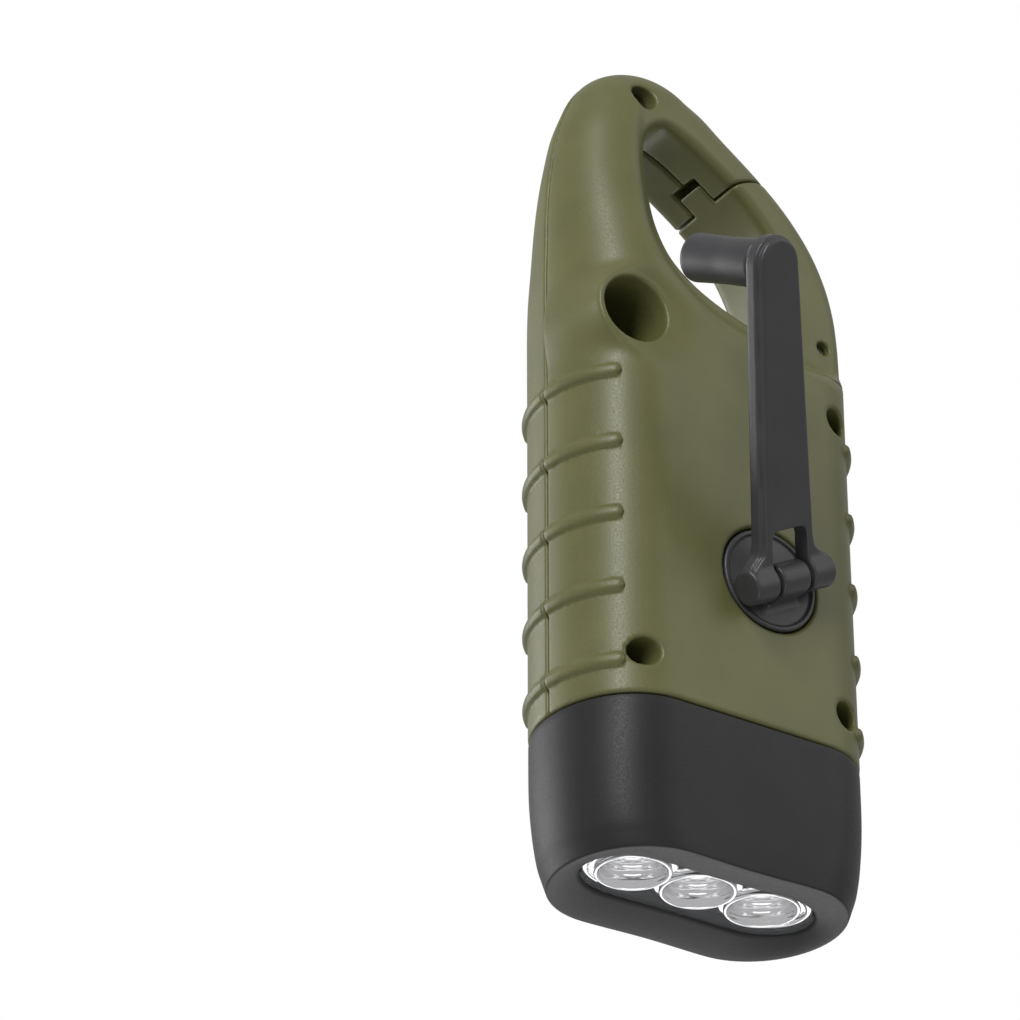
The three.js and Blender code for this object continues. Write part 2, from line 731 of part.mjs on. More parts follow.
// Cup wall: a parabola from the mouth at the front up to the throat round the LED
function cupProfile(thickness, forward, steps = 5) {
  const throat = ledRadius + gap + thickness;
  const mouth = cupRadius + thickness;
  const profile = [[0, reflectorFace - forward], [mouth, reflectorFace - forward]];
  for (let step = 0; step <= steps; step += 1) {
    const share = step / steps;
    profile.push([throat + (mouth - throat) * Math.sqrt(1 - share), reflectorFace + cupDepth * share]);
  }
  return [...(forward > 0 ? profile : profile.filter((spot, order) => order !== 1)), [0, reflectorBack]];
}

function reflector() {
  const cups = [];
  const bowls = [];
  for (const slot of [-1, 0, 1]) {
    cups.push(turned(cupProfile(cupWall, 0)).translate([slot * ledPitch, 0, 0]));
    bowls.push(turned(cupProfile(0, overrun)).translate([slot * ledPitch, 0, 0]));
    bowls.push(rodZ(ledRadius + gap, reflectorFace, reflectorBack + overrun, slot * ledPitch, 0));
  }
  const feet = [];
  for (const x of [-postSpread, postSpread]) {
    for (const y of [-postSide, postSide]) feet.push(rodZ(postThick, reflectorFace, ledBase, x, y, smallSides));
  }
  const face = capInside(gap, reflectorFace, reflectorFace + flangePlate);
  return union([face, ...cups, ...feet]).subtract(union(bowls));
}

function led(x) {
  const tip = ledBase - ledLength;
  const dome = [0.35, 0.65, 0.88, 1].map((share) => [
    ledRadius * Math.sin(share * quarter), tip + ledRadius * (1 - Math.cos(share * quarter)),
  ]);
  return turned([
    [0, tip], ...dome, [ledRadius, ledBase - ledFlangeHeight], [ledFlange, ledBase - ledFlangeHeight],
    [ledFlange, ledBase], [0, ledBase],
  ]).translate([x, 0, 0]);
}

addPart('head_cap', headCap(), black);
addPart('lens_window', capInside(2 * gap + gasketWidth, lensBack, lensBack + lensThickness), clear);
addPart('lens_gasket', capInside(gap, lensBack, lensBack + lensThickness)
  .subtract(capInside(gap + gasketWidth, lensBack - gap, lensBack + lensThickness + gap)), innerBlack);
addPart('reflector', reflector(), chrome);
[-1, 0, 1].forEach((slot, order) => addPart(`led_${order + 1}`, led(slot * ledPitch), clear));
addPart('led_board', capInside(gap, ledBoardFace, ledBoardFace + ledBoardThickness), board);

// ---------- Solar panel ----------
const frameBack = -panelFloor - gap;
const frameFront = -halfDepth - frameProud;
const rebateTop = frameFront + lip;
const ridgeHalf = 0.7;
const ridgeProud = 0.5;
const ridgeSpread = 12.6;

function solarFrame() {
  const ridges = [-ridgeSpread, ridgeSpread].map((x) => plate(
    linkShape(point(x, windowBottom), point(x, windowTop), ridgeHalf), frameFront - ridgeProud, frameBack));
  return plate(frameShape(0), frameFront, frameBack).add(union(ridges))
    .subtract(plate(windowShape(0), frameFront - overrun, frameBack + overrun))
    .subtract(plate(windowShape(rebate), rebateTop, frameBack + overrun));
}

addPart('solar_frame', solarFrame(), black);
addPart('solar_cell', plate(windowShape(rebate - gap), frameBack - cellThickness, frameBack), cell);
addPart('solar_window', plate(windowShape(rebate - gap), rebateTop + gap, rebateTop + gap + glassThickness)
  .intersect(block(-overrun, overrun, -overrun, frameBack - cellThickness - fit, 0, totalLength)), clear);

// ---------- Button, switch and main board ----------
addPart('power_button', rodX(buttonRadius, -halfWidth - buttonProud, flangeFace + flangeThickness / 2, 0, buttonHeight)
  .add(rodX(flangeRadius, flangeFace, flangeFace + flangeThickness, 0, buttonHeight))
  .add(rodX(stemRadius, flangeFace, stemEnd, 0, buttonHeight)), innerBlack);
addPart('tact_switch', block(switchFace, switchFace + switchThickness, -switchHalf, switchHalf,
  buttonHeight - switchHalf, buttonHeight + switchHalf)
  .add(rodX(stemRadius, plungerEnd, switchFace + switchThickness / 2, 0, buttonHeight)), innerBlack);
addPart('main_board', block(boardFace, boardFace + boardThickness, -boardHalf, boardHalf, boardBottom, boardTop),
  board);

// ---------- Crank: everything that turns with the hub, in a frame with +Z along the arm ----------
const hubGroup = new THREE.Group();
hubGroup.position.set(hubPlace.x, 0, hubPlace.y);
hubGroup.rotation.y = crankHeading;
flashlight.add(hubGroup);

const hubBottom = hubRecessFloor + gap;
const shaftTop = hubTop - 2 * gap;

function crankHub() {
  const knuckle = rodX(knuckleRadius, -knuckleHalf, knuckleHalf, hingeHeight, -hingeBack);
  const stem = block(-knuckleHalf, knuckleHalf, hubBottom, hingeHeight,
    -hingeBack - knuckleRadius, -hingeBack + knuckleRadius);
  return rodY(hubRadius, hubBottom, hubTop, 0, 0, fineSides).add(knuckle).add(stem)
    .subtract(rodY(shaftRadius + run, 0, shaftTop + fit, 0, 0))
    .subtract(rodX(hingePinRadius + run, -overrun, overrun, hingeHeight, -hingeBack));
}

// Involute gear outline about the origin, with a tooth centred on the given angle
function gearShape(teeth, phase, boreRadius) {
  const pitch = gearModule * teeth / 2;
  const tip = pitch + addendumShare * gearModule;
  const root = pitch - dedendumShare * gearModule;
  const base = pitch * Math.cos(pressureAngle);
  const start = Math.max(base, root);
  const involute = (radius) => {
    const angle = Math.acos(Math.min(1, base / radius));
    return Math.tan(angle) - angle;
  };
  const halfTooth = Math.PI / (2 * teeth) - toothSlack / (4 * pitch) + Math.tan(pressureAngle) - pressureAngle;
  const radii = [0, 0.55, 1].map((share) => start + (tip - start) * share);
  const foot = root < base - gearModule * fit ? [root] : [];
  const points = [];
  for (let tooth = 0; tooth < teeth; tooth += 1) {
    const middle = phase + full * tooth / teeth;
    const flank = [...foot, ...radii].map((radius) => [radius, halfTooth - involute(Math.max(radius, start))]);
    const left = flank.map(([radius, angle]) => [radius, middle - angle]);
    const right = flank.map(([radius, angle]) => [radius, middle + angle]).reverse();
    for (const [radius, angle] of [...left, ...right]) {
      points.push(point(radius * Math.cos(angle), radius * Math.sin(angle)));
    }
  }
  const shape = new THREE.Shape(points);
  const bore = [];
  for (let step = 0; step < roundSides; step += 1) {
    const angle = full * (step + 0.5) / roundSides;
    bore.push(point(boreRadius * Math.cos(angle), boreRadius * Math.sin(angle)));
  }
  shape.holes.push(new THREE.Path(bore));
  return shape;
}

function gear(teeth, phase, low, high, boreRadius) {
  return plate(gearShape(teeth, phase, boreFor(boreRadius)), low, high);
}

const hub = addPart('crank_hub', crankHub(), black, hubGroup);
addPart('crank_shaft', rodY(shaftRadius, plateLow, shaftTop, 0, 0), steel, hubGroup);
addPart('drive_gear', gear(driveTeeth, angleTo(hubPlace, idlerOnePlace) + crankHeading,
  layerOne, layerOne + wheelThickness, shaftRadius + run), nylon, hubGroup);
addPart('shaft_clip', rodY(shaftRadius + wall / 2, layerOne - gap - wheelThickness / 3, layerOne - gap, 0, 0)
  .subtract(rodY(boreFor(shaftRadius + run), 0, halfDepth, 0, 0)), steel, hubGroup);
addPart('hinge_pin', rodX(hingePinRadius, -barrelHalf + gap, barrelHalf - gap, hingeHeight, -hingeBack), steel,
  hubGroup);
addPart('hub_bush', rodY(bushRadius, layerOne + wheelThickness + gap, hubRecessFloor, hubPlace.x, hubPlace.y)
  .subtract(rodY(boreFor(shaftRadius + run), 0, halfDepth, hubPlace.x, hubPlace.y)), brass);

// Arm and knob, in a frame on the hinge's axis with +Z along the arm, lifted from its folded place
const armGroup = new THREE.Group();
armGroup.position.set(0, hingeHeight, -hingeBack);
armGroup.rotation.x = -crankLift;
hubGroup.add(armGroup);

function crankArm() {
  const ears = rodX(knuckleRadius, -barrelHalf, barrelHalf, 0, 0);
  const shoulder = slotTop * 0.45;
  const shape = new THREE.Shape();
  shape.moveTo(-barrelHalf, 0);
  shape.lineTo(barrelHalf, 0);
  shape.quadraticCurveTo(barrelHalf, shoulder, armRootHalf, shoulder + knuckleRadius);
  shape.lineTo(armTipHalf, crankRadius);
  shape.absarc(0, crankRadius, armTipHalf, 0, Math.PI, false);
  shape.lineTo(-armRootHalf, shoulder + knuckleRadius);
  shape.quadraticCurveTo(-barrelHalf, shoulder, -barrelHalf, 0);
  const slotHalf = knuckleHalf + gap;
  const slot = plate(linkShape(point(0, -overrun), point(0, slotTop - slotHalf), slotHalf), -overrun, overrun);
  return plate(shape, -armUnder, armOver).add(ears).subtract(slot)
    .subtract(rodX(boreFor(hingePinRadius + run), -overrun, overrun, 0, 0))
    .subtract(rodY(knobPinRadius + run, -overrun, -armUnder + knobPinBite + fit, 0, crankRadius));
}

const knobTop = -armUnder - gap;
const knobEnd = knobTop - knobLength;

function crankKnob() {
  const middle = (knobTop + knobEnd) / 2;
  const body = turnedY([
    [0, knobEnd], [knobRadius - knobEdge, knobEnd], [knobRadius - knobEdge / 4, knobEnd + knobEdge / 4],
    [knobRadius, knobEnd + knobEdge], [knobWaist, middle], [knobRadius, knobTop - knobEdge],
    [knobRadius - knobEdge / 2, knobTop], [0, knobTop],
  ], roundSides);
  const head = rodY(boreFor(knobPinHead + gap), knobEnd - overrun, knobEnd + knobPinHeadHeight + 2 * gap, 0, 0);
  const bore = rodY(boreFor(knobPinRadius + run), knobEnd - overrun, knobTop + overrun, 0, 0);
  return body.subtract(head).subtract(bore);
}

function knobPin() {
  const headLow = knobEnd + gap;
  return rodY(knobPinHead, headLow, headLow + knobPinHeadHeight, 0, 0)
    .add(rodY(knobPinRadius, headLow, -armUnder + knobPinBite, 0, 0));
}

const knobGroup = new THREE.Group();
knobGroup.position.set(0, 0, crankRadius);
armGroup.add(knobGroup);
addPart('crank_arm', crankArm(), black, armGroup);
addPart('crank_knob', crankKnob(), black, knobGroup);
addPart('knob_pin', knobPin(), steel, knobGroup);

// ---------- Idler gears, their axles and the bearing plate ----------
function idler(place, pinionAngle, wheelAngle, wheelLow) {
  const pinionHigh = wheelLow + 2 * wheelThickness + layerGap + fit;
  const wheel = gear(wheelTeeth, wheelAngle, wheelLow, wheelLow + wheelThickness, axleRadius + run);
  const pinion = gear(pinionTeeth, pinionAngle + Math.PI / pinionTeeth, wheelLow + wheelThickness / 2, pinionHigh,
    axleRadius + run);
  return wheel.add(pinion).translate([place.x, 0, place.y]);
}

addPart('idler_gear_1', idler(idlerOnePlace, angleTo(idlerOnePlace, hubPlace),
  angleTo(idlerOnePlace, idlerTwoPlace), layerTwo), nylon);
addPart('idler_gear_2', idler(idlerTwoPlace, angleTo(idlerTwoPlace, idlerOnePlace),
  angleTo(idlerTwoPlace, rotorPlace), layerThree), nylon);
[idlerOnePlace, idlerTwoPlace].forEach((place, order) => addPart(`idler_axle_${order + 1}`,
  rodY(axleRadius, plateLow, axleTop, place.x, place.y), steel));

function gearPlate() {
  const [upperPost, sidePost, lowerPost] = postPlaces;
  const links = [
    [upperPost, idlerOnePlace], [upperPost, hubPlace], [hubPlace, lowerPost], [lowerPost, rotorPlace],
    [rotorPlace, idlerTwoPlace], [idlerTwoPlace, sidePost], [hubPlace, idlerOnePlace], [idlerOnePlace, sidePost],
  ];
  const arms = links.map(([from, to]) => plate(linkShape(from, to, plateArm), plateLow, plateHigh));
  const bores = [
    [hubPlace, shaftRadius + run], [idlerOnePlace, axleRadius + run], [idlerTwoPlace, axleRadius + run],
    [rotorPlace, rotorShaftRadius + run], ...postPlaces.map((place) => [place, plateScrewShank + fit]),
  ];
  return union(arms).subtract(union(bores.map(([place, radius]) => rodY(boreFor(radius), -overrun, overrun,
    place.x, place.y))));
}

addPart('gear_plate', gearPlate(), steel);
postPlaces.forEach((place, order) => {
  const under = plateLow - gap;
  addPart(`plate_screw_${order + 1}`, rodY(plateScrewHead, under - plateScrewHeadHeight, under, place.x, place.y)
    .add(rodY(plateScrewShank, under - plateScrewHeadHeight / 2, plateScrewReach, place.x, place.y, smallSides)), steel);
});

// ---------- Generator ----------
const rotorTop = layerThree + wheelThickness + fit;
const magnetLow = canBottom + canWall + 2 * gap;
const magnetHigh = canTop - 2 * gap;
addPart('rotor_shaft', rodY(rotorShaftRadius, canBottom, rotorTop + fit, rotorPlace.x, rotorPlace.y), steel);
addPart('rotor_pinion', gear(pinionTeeth, angleTo(rotorPlace, idlerTwoPlace) + Math.PI / pinionTeeth,
  layerThree - fit, rotorTop, rotorShaftRadius + run).translate([rotorPlace.x, 0, rotorPlace.y]), brass);
addPart('rotor_magnet', rodY(magnetRadius, magnetLow, magnetHigh, rotorPlace.x, rotorPlace.y)
  .subtract(rodY(boreFor(rotorShaftRadius + run), -overrun, overrun, rotorPlace.x, rotorPlace.y)), magnet);
addPart('stator_can', rodY(canRadius, canBottom, canTop, rotorPlace.x, rotorPlace.y)
  .subtract(rodY(canRadius - canWall, canBottom + canWall, halfDepth, rotorPlace.x, rotorPlace.y))
  .subtract(rodY(boreFor(rotorShaftRadius + run), -overrun, halfDepth, rotorPlace.x, rotorPlace.y)), steel);
addPart('coil_bobbin', rodY(canRadius - canWall - gap, canBottom + canWall + gap, canTop - gap,
  rotorPlace.x, rotorPlace.y)
  .subtract(rodY(bobbinInner, -overrun, halfDepth, rotorPlace.x, rotorPlace.y)), copper);

// ---------- Battery ----------
const stackEnd = stackStart + cellCount * cellLength + (cellCount - 1) * gap;

function batteryTray() {
  const outer = block(stackStart - gap - trayWall, stackEnd + gap + trayWall, canBottom, trayTop,
    stackHeight - trayHalfHeight, stackHeight + trayHalfHeight);
  return outer.intersect(hollow(gap))
    .subtract(rodX(boreFor(cellRadius + gap), stackStart - gap, stackEnd + gap, 0, stackHeight));
}

addPart('battery_tray', batteryTray(), innerBlack);
for (let count = 0; count < cellCount; count += 1) {
  const start = stackStart + count * (cellLength + gap);
  addPart(`battery_cell_${count + 1}`, rodX(cellRadius, start, start + cellLength, 0, stackHeight), sleeve);
}

// ---------- Leads ----------
const leadRadius = 0.55;

function lead(stops) {
  return tube(new THREE.CatmullRomCurve3(stops.map((stop) => new THREE.Vector3(...stop))), leadRadius, smallSides);
}

const leadDepth = -4;
const boardBack = boardFace + boardThickness + gap + leadRadius;
addPart('wire_battery', lead([
  [stackStart - gap - trayWall - gap - leadRadius, leadDepth, stackHeight - trayHalfHeight / 2],
  [stackStart - 4 * trayWall, leadDepth, stackHeight - trayHalfHeight - 2 * wall],
  [boardFace + boardThickness / 2, leadDepth, boardTop + 2 * wall],
  [boardFace + boardThickness / 2, leadDepth, boardTop + gap],
]), redLead);
addPart('wire_led', lead([
  [boardBack, leadDepth, boardBottom + wall],
  [boardBack + wall, leadDepth, boardBottom - wall],
  [boardBack + 2 * wall, leadDepth, capHeight],
  [boardBack + 2 * wall, leadDepth, ledBoardFace + ledBoardThickness + gap],
]), redLead);
addPart('wire_generator', lead([
  [rotorPlace.x - canRadius - gap - leadRadius, leadDepth, rotorPlace.y + wall],
  [rotorPlace.x - canRadius - 2 * wall, leadDepth, rotorPlace.y + 4 * wall],
  [boardBack, leadDepth, rotorPlace.y + 5 * wall],
]), redLead);

// The origin is the middle of the footprint's box, at the lens bezel
flashlight.updateMatrixWorld(true);
const box = new THREE.Box3().setFromObject(flashlight, true);
const middle = box.getCenter(new THREE.Vector3());
flashlight.position.set(-middle.x, -middle.y, -box.min.z);

export default flashlight;
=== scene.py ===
# %% [markdown]
# # A hand crank flashlight, dressed for its picture
# The light stands on its head: a green clamshell housing with a hook moulded on top, a black head below, a folding
# crank on one side and a solar panel on the other. The measured model comes first, and every surface made here is
# laid over it and moves with it.

# %% Load the measured model
import math
import bpy
import numpy as np
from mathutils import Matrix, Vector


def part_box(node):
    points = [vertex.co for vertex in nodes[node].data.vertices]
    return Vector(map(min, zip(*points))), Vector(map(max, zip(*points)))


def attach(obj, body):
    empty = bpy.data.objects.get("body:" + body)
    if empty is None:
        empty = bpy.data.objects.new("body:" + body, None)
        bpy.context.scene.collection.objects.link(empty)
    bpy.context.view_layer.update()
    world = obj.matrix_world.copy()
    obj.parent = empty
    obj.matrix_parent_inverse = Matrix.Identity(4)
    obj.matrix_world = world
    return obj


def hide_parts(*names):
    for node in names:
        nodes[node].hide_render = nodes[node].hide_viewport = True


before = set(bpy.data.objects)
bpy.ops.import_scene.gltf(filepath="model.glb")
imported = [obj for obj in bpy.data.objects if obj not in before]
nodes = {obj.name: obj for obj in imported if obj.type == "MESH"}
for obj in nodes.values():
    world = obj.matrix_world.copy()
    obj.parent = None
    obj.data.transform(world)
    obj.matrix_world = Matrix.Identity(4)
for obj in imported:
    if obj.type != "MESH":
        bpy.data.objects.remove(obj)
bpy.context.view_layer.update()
print("nodes:", len(nodes))

# %% [markdown]
# The shapes are worked out in millimetres about the parting plane of the housing, because that is how the mould was
# drawn. The measured gate of the hook is symmetrical about that plane, so its box says where the plane lies.

# %% Millimetres about the parting plane
mm = 0.001
gate_low, gate_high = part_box("carabiner_gate")
parting = (gate_low.y + gate_high.y) / 2


def placed(points):
    """Points in millimetres about the parting plane, as metres in the frame."""
    return np.asarray(points, float) * mm + np.array([0, parting, 0])


def rows(*columns):
    """Columns of numbers side by side, one row for each point."""
    return np.stack(np.broadcast_arrays(*columns), axis=-1)


print("parting plane at y =", round(parting / mm, 3), "mm")

# %% [markdown]
# A mesh is only points and faces. This helper takes both as whole arrays, shades them smooth and lets the new piece
# ride on the body that it belongs to, so that it moves with its joint.

# %% From arrays to a piece that rides
def standing(name, data):
    """New object round a mesh, a lamp or a camera, linked to the scene."""
    made = bpy.data.objects.new(name, data)
    bpy.context.scene.collection.objects.link(made)
    return made


def piece(name, points, faces, body, *stands_for, flat_angle=None):
    """Mesh from points in millimetres and an array of faces, riding on a body in place of measured nodes."""
    mesh = bpy.data.meshes.new(name)
    mesh.from_pydata(placed(points).tolist(), [], np.asarray(faces).tolist())
    mesh.validate()
    mesh.shade_smooth()
    if flat_angle:
        mesh.set_sharp_from_angle(angle=math.radians(flat_angle))
    shown = standing(name, mesh)
    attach(shown, body)
    if stands_for:
        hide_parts(*stands_for)
    print(f"{name}: {len(points)} points, {len(faces)} faces")
    return shown


# %% [markdown]
# ## Turned pieces
# Knobs, screws, LEDs and reflector cups are round, so each is a profile carried round an axis. Rows follow the
# profile and columns go round, and a point on the axis at either end closes the piece.

# %% A profile carried round an axis
def turned(profile, centre=(0, 0, 0), axis=(0, 0, 1), side=(1, 0, 0), sides=64):
    """Point (r, h) of the profile goes to centre + h axis + r (cos u side + sin u across), u once round."""
    axis, side = np.array(axis, float), np.array(side, float)
    across = np.cross(axis, side)
    profile = np.array(profile, float)
    turn = np.arange(sides) * 2 * math.pi / sides
    radius, height = profile[:, 0, None], profile[:, 1, None]
    points = (np.array(centre, float) + height[..., None] * axis
              + (radius * np.cos(turn))[..., None] * side + (radius * np.sin(turn))[..., None] * across)
    return points.reshape(-1, 3), grid_faces(len(profile), sides)


def grid_faces(count, sides, closed=False):
    """Faces between neighbouring rows of a grid whose columns go once round, all wound the same way."""
    row, column = np.meshgrid(np.arange(count if closed else count - 1), np.arange(sides), indexing="ij")
    after, beside = (row + 1) % count, (column + 1) % sides
    quads = np.stack([row * sides + column, row * sides + beside, after * sides + beside, after * sides + column], -1)
    return quads.reshape(-1, 4)


def bend(start, corner, end, steps=8):
    """Curve that leaves start and reaches end along the lines to a corner: a quadratic between the three."""
    share = np.linspace(0, 1, steps + 1)[:, None]
    return ((1 - share) ** 2 * np.array(start) + 2 * share * (1 - share) * np.array(corner)
            + share ** 2 * np.array(end))


def rounded(profile, radius, steps=4):
    """Profile with each inner corner turned into a bend of the given reach, and of less on a short side."""
    spots = np.array(profile, float)
    smooth = [spots[0]]
    for before, corner, after in zip(spots[:-2], spots[1:-1], spots[2:]):
        back, on = before - corner, after - corner
        back_long, on_long = np.linalg.norm(back), np.linalg.norm(on)
        most = min(radius, back_long * 0.45, on_long * 0.45)
        smooth.extend(bend(corner + back / back_long * most, corner, corner + on / on_long * most, steps))
    smooth.append(spots[-1])
    return np.array(smooth)


print("points of a square corner, rounded:", len(rounded([(0, 0), (1, 0), (1, 1)], 0.2)))

# %% [markdown]
# ## Moulded pieces
# The housing has soft blends: a rounded ridge round the eye of the hook, a swelling round the knob's pocket, ribs
# that melt into the sides. A grid of two parameters would need seams across them. So each moulding is a field
# instead: a number for every point of space, negative inside, that says how far the surface is. Joining and cutting
# are then minimum and maximum, and a small term added near the join rounds it, as a real mould is rounded.

# %% Joining and cutting fields
def both(first, second, soft=0.0):
    """Where two fields overlap: the larger, plus (soft - difference)^2 / 4 soft near the edge, which rounds it."""
    if not soft:
        return np.maximum(first, second)
    near = np.clip(soft - np.abs(first - second), 0, None)
    return np.maximum(first, second) + near * near / (4 * soft)


def either(first, second, soft=0.0):
    """Two fields joined, with a fillet where they meet."""
    return -both(-first, -second, soft)


def without(first, second, soft=0.0):
    """The first field with the second cut away, and the edge rounded."""
    return both(first, -second, soft)


def rod(across, upward, centre, radius):
    """Round rod: distance from its centre line, less its radius."""
    return np.hypot(across - centre[0], upward - centre[1]) - radius


def rods(across, upward, centres, radius):
    """Several round rods joined: the least of their distances."""
    return np.minimum.reduce([rod(across, upward, centre, radius) for centre in centres])


def between(value, low, high):
    """Slab between two planes: how far the value lies outside its two limits."""
    return np.maximum(low - value, value - high)


print("a corner rounded over 0.4 mm is cut back by", round(float(both(0.0, 0.0, 0.4)), 3), "mm")

# %% [markdown]
# The surface is found on a grid of small cubes. Every cube that the surface passes through gets one point, at the
# mean of the places where the surface crosses the cube's edges, and four neighbouring cubes make a face. A last step
# slides each point down the field's slope, so the facets' points lie on the real surface.

# %% The skin of a field
probe, least_slope = 0.05, 0.3


def skin(field, low, high, step, polish=2):
    """Points and faces where a field is zero, from cubes of one step; each point moves by -value slope / |slope|^2."""
    low = np.array(low, float)
    sizes = [int(math.ceil((b - a) / step)) + 1 for a, b in zip(low, high)]
    x, y, z = (low[i] + np.arange(sizes[i]) * step for i in range(3))
    depth = np.broadcast_to(field(x[:, None, None], y[None, :, None], z[None, None, :]), sizes)
    inside = depth < 0
    corners = np.array([(i, j, k) for i in (0, 1) for j in (0, 1) for k in (0, 1)])
    count = sum(inside[i:sizes[0] - 1 + i, j:sizes[1] - 1 + j, k:sizes[2] - 1 + k].astype(np.int8)
                for i, j, k in corners)
    cubes = np.argwhere((count > 0) & (count < 8))
    number = np.full(count.shape, -1)
    number[tuple(cubes.T)] = np.arange(len(cubes))
    total, crossed = np.zeros((len(cubes), 3)), np.zeros(len(cubes))
    for start in corners:
        for end in corners[(np.abs(corners - start).sum(1) == 1) & (corners.sum(1) > start.sum())]:
            one, other = depth[tuple((cubes + start).T)], depth[tuple((cubes + end).T)]
            cut = (one < 0) != (other < 0)
            share = one[cut] / (one[cut] - other[cut])
            total[cut] += start + share[:, None] * (end - start)
            crossed[cut] += 1
    points = low + (cubes + total / crossed[:, None]) * step
    faces = []
    for way in range(3):
        onward, u, v = np.roll(np.eye(3, dtype=int), -way, 0)
        first = inside[tuple(slice(int(u[i] + v[i]), sizes[i] - 1) for i in range(3))]
        second = inside[tuple(slice(int(u[i] + v[i] + onward[i]), sizes[i] - 1 + int(onward[i])) for i in range(3))]
        edges = np.argwhere(first != second) + u + v
        ring = [number[tuple((edges - back).T)] for back in (0 * u, u, u + v, v)]
        quads = np.stack(ring, -1)
        outward = inside[tuple(edges.T)]
        faces.append(np.where(outward[:, None], quads, quads[:, ::-1]))
    for _ in range(polish):
        value = field(*points.T)
        slope = np.stack([(field(*(points + nudge).T) - field(*(points - nudge).T)) / (2 * probe)
                          for nudge in np.eye(3) * probe], -1)
        move = value / np.maximum((slope ** 2).sum(1), least_slope)
        points -= np.clip(move, -step / 3, step / 3)[:, None] * slope
    return points, np.concatenate(faces)


# %% [markdown]
# ## The outline of the hook
# The mould's outline is a few points with a smooth curve through them, and a true arc at the crown. The field needs
# the distance to that outline everywhere, so the distance is worked out once on a fine map and read back between
# the map's points.

# %% Smooth curves and distance maps
def curve_through(spots, count, closed=False):
    """Smooth curve through the points: each span is a cubic whose slopes are half the step between neighbours."""
    spots = np.array(spots, float)
    if closed:
        spots = np.vstack([spots[-1], spots, spots[:2]])
    else:
        spots = np.vstack([spots[0], spots, spots[-1]])
    place = np.linspace(0, len(spots) - 3, count, endpoint=not closed)
    span = np.minimum(place.astype(int), len(spots) - 4)
    t = (place - span)[:, None]
    a, b, c, d = (spots[span + i] for i in range(4))
    return b + 0.5 * t * ((c - a) + t * ((2 * a - 5 * b + 4 * c - d) + t * (3 * (b - c) + d - a)))


class Outline:
    """Distance to a closed outline of the XZ plane, negative inside, kept on a map with cells of 0.2 mm."""

    def __init__(self, spots, margin=6.0, cell=0.2):
        spots = np.array(spots, float)
        self.low, self.cell = spots.min(0) - margin, cell
        size = ((spots.max(0) + margin - self.low) / cell).astype(int) + 2
        x = self.low[0] + np.arange(size[0])[:, None] * cell
        z = self.low[1] + np.arange(size[1])[None, :] * cell
        nearest, odd = np.full(size, 1e9), np.zeros(size, bool)
        for (ax, az), (bx, bz) in zip(spots, np.roll(spots, -1, 0)):
            length = max((bx - ax) ** 2 + (bz - az) ** 2, 1e-12)
            share = np.clip(((x - ax) * (bx - ax) + (z - az) * (bz - az)) / length, 0, 1)
            nearest = np.minimum(nearest, (x - ax - share * (bx - ax)) ** 2 + (z - az - share * (bz - az)) ** 2)
            if az != bz:
                odd ^= ((az > z) != (bz > z)) & (x < ax + (z - az) * (bx - ax) / (bz - az))
        self.map = np.sqrt(nearest) * np.where(odd, -1, 1)

    def __call__(self, x, z):
        """Distance at points, read between the four nearest places of the map."""
        column = np.clip((x - self.low[0]) / self.cell, 0, self.map.shape[0] - 1.001)
        row = np.clip((z - self.low[1]) / self.cell, 0, self.map.shape[1] - 1.001)
        i, j = column.astype(int), row.astype(int)
        s, t = column - i, row - j
        return ((self.map[i, j] * (1 - s) + self.map[i + 1, j] * s) * (1 - t)
                + (self.map[i, j + 1] * (1 - s) + self.map[i + 1, j + 1] * s) * t)


# %% [markdown]
# Three outlines make the hook: the outside, the eye, and the edge of the sunk face round it. They are kept as shares
# of the half width and of the length. Where an outline only cuts, it runs on far outside the housing.

# %% The outlines of the housing
length, half_width, half_depth, side_rounding = 137.2, 25.15, 14.3, 12.0
far_below, far_aside, far_above = -30, -40, 160


def on_body(shares):
    """Shares of the half width and of the length, as millimetres."""
    return np.array(shares) * [half_width, length]


spine_side = on_body([[1, 0.7], [0.994, 0.743], [0.988, 0.786], [0.97, 0.8286], [0.938, 0.868], [0.897, 0.9036]])
gate_side = on_body([[-0.06, 0.9702], [-0.199, 0.95], [-0.398, 0.9225], [-0.587, 0.893], [-0.736, 0.862],
                     [-0.856, 0.827], [-0.943, 0.786], [-0.988, 0.743], [-1, 0.7]])
crown_radius, crown_aside = 12.5, 0.358
crown_angle = np.radians(np.linspace(20, 125, 40))
crown_arc = np.array([crown_aside * half_width, length - crown_radius]) + crown_radius * rows(
    np.cos(crown_angle), np.sin(crown_angle))
hook_outline = Outline(np.vstack([
    [[half_width, far_below]], curve_through(np.vstack([spine_side, crown_arc[:1]]), 60), crown_arc[1:],
    curve_through(np.vstack([crown_arc[-1:], gate_side]), 90)[1:], [[-half_width, far_below]]]))
eye_outline = Outline(curve_through(on_body([
    [0.318, 0.914], [0.429, 0.902], [0.473, 0.879], [0.473, 0.846], [0.445, 0.807], [0.394, 0.774],
    [0.298, 0.743], [0.159, 0.7214], [0, 0.7064], [-0.199, 0.694], [-0.398, 0.687], [-0.517, 0.687],
    [-0.577, 0.7036], [-0.588, 0.7357], [-0.553, 0.768], [-0.485, 0.7986], [-0.39, 0.827],
    [-0.266, 0.852], [-0.119, 0.8736], [0.04, 0.893], [0.179, 0.907]]), 180, closed=True), margin=40)
sunk_edge = curve_through(on_body([[-0.557, 0.666], [-0.159, 0.679], [0.08, 0.694], [0.278, 0.72], [0.41, 0.756],
                                   [0.477, 0.804], [0.513, 0.854], [0.513, 0.9], [0.485, 0.957]]), 90)
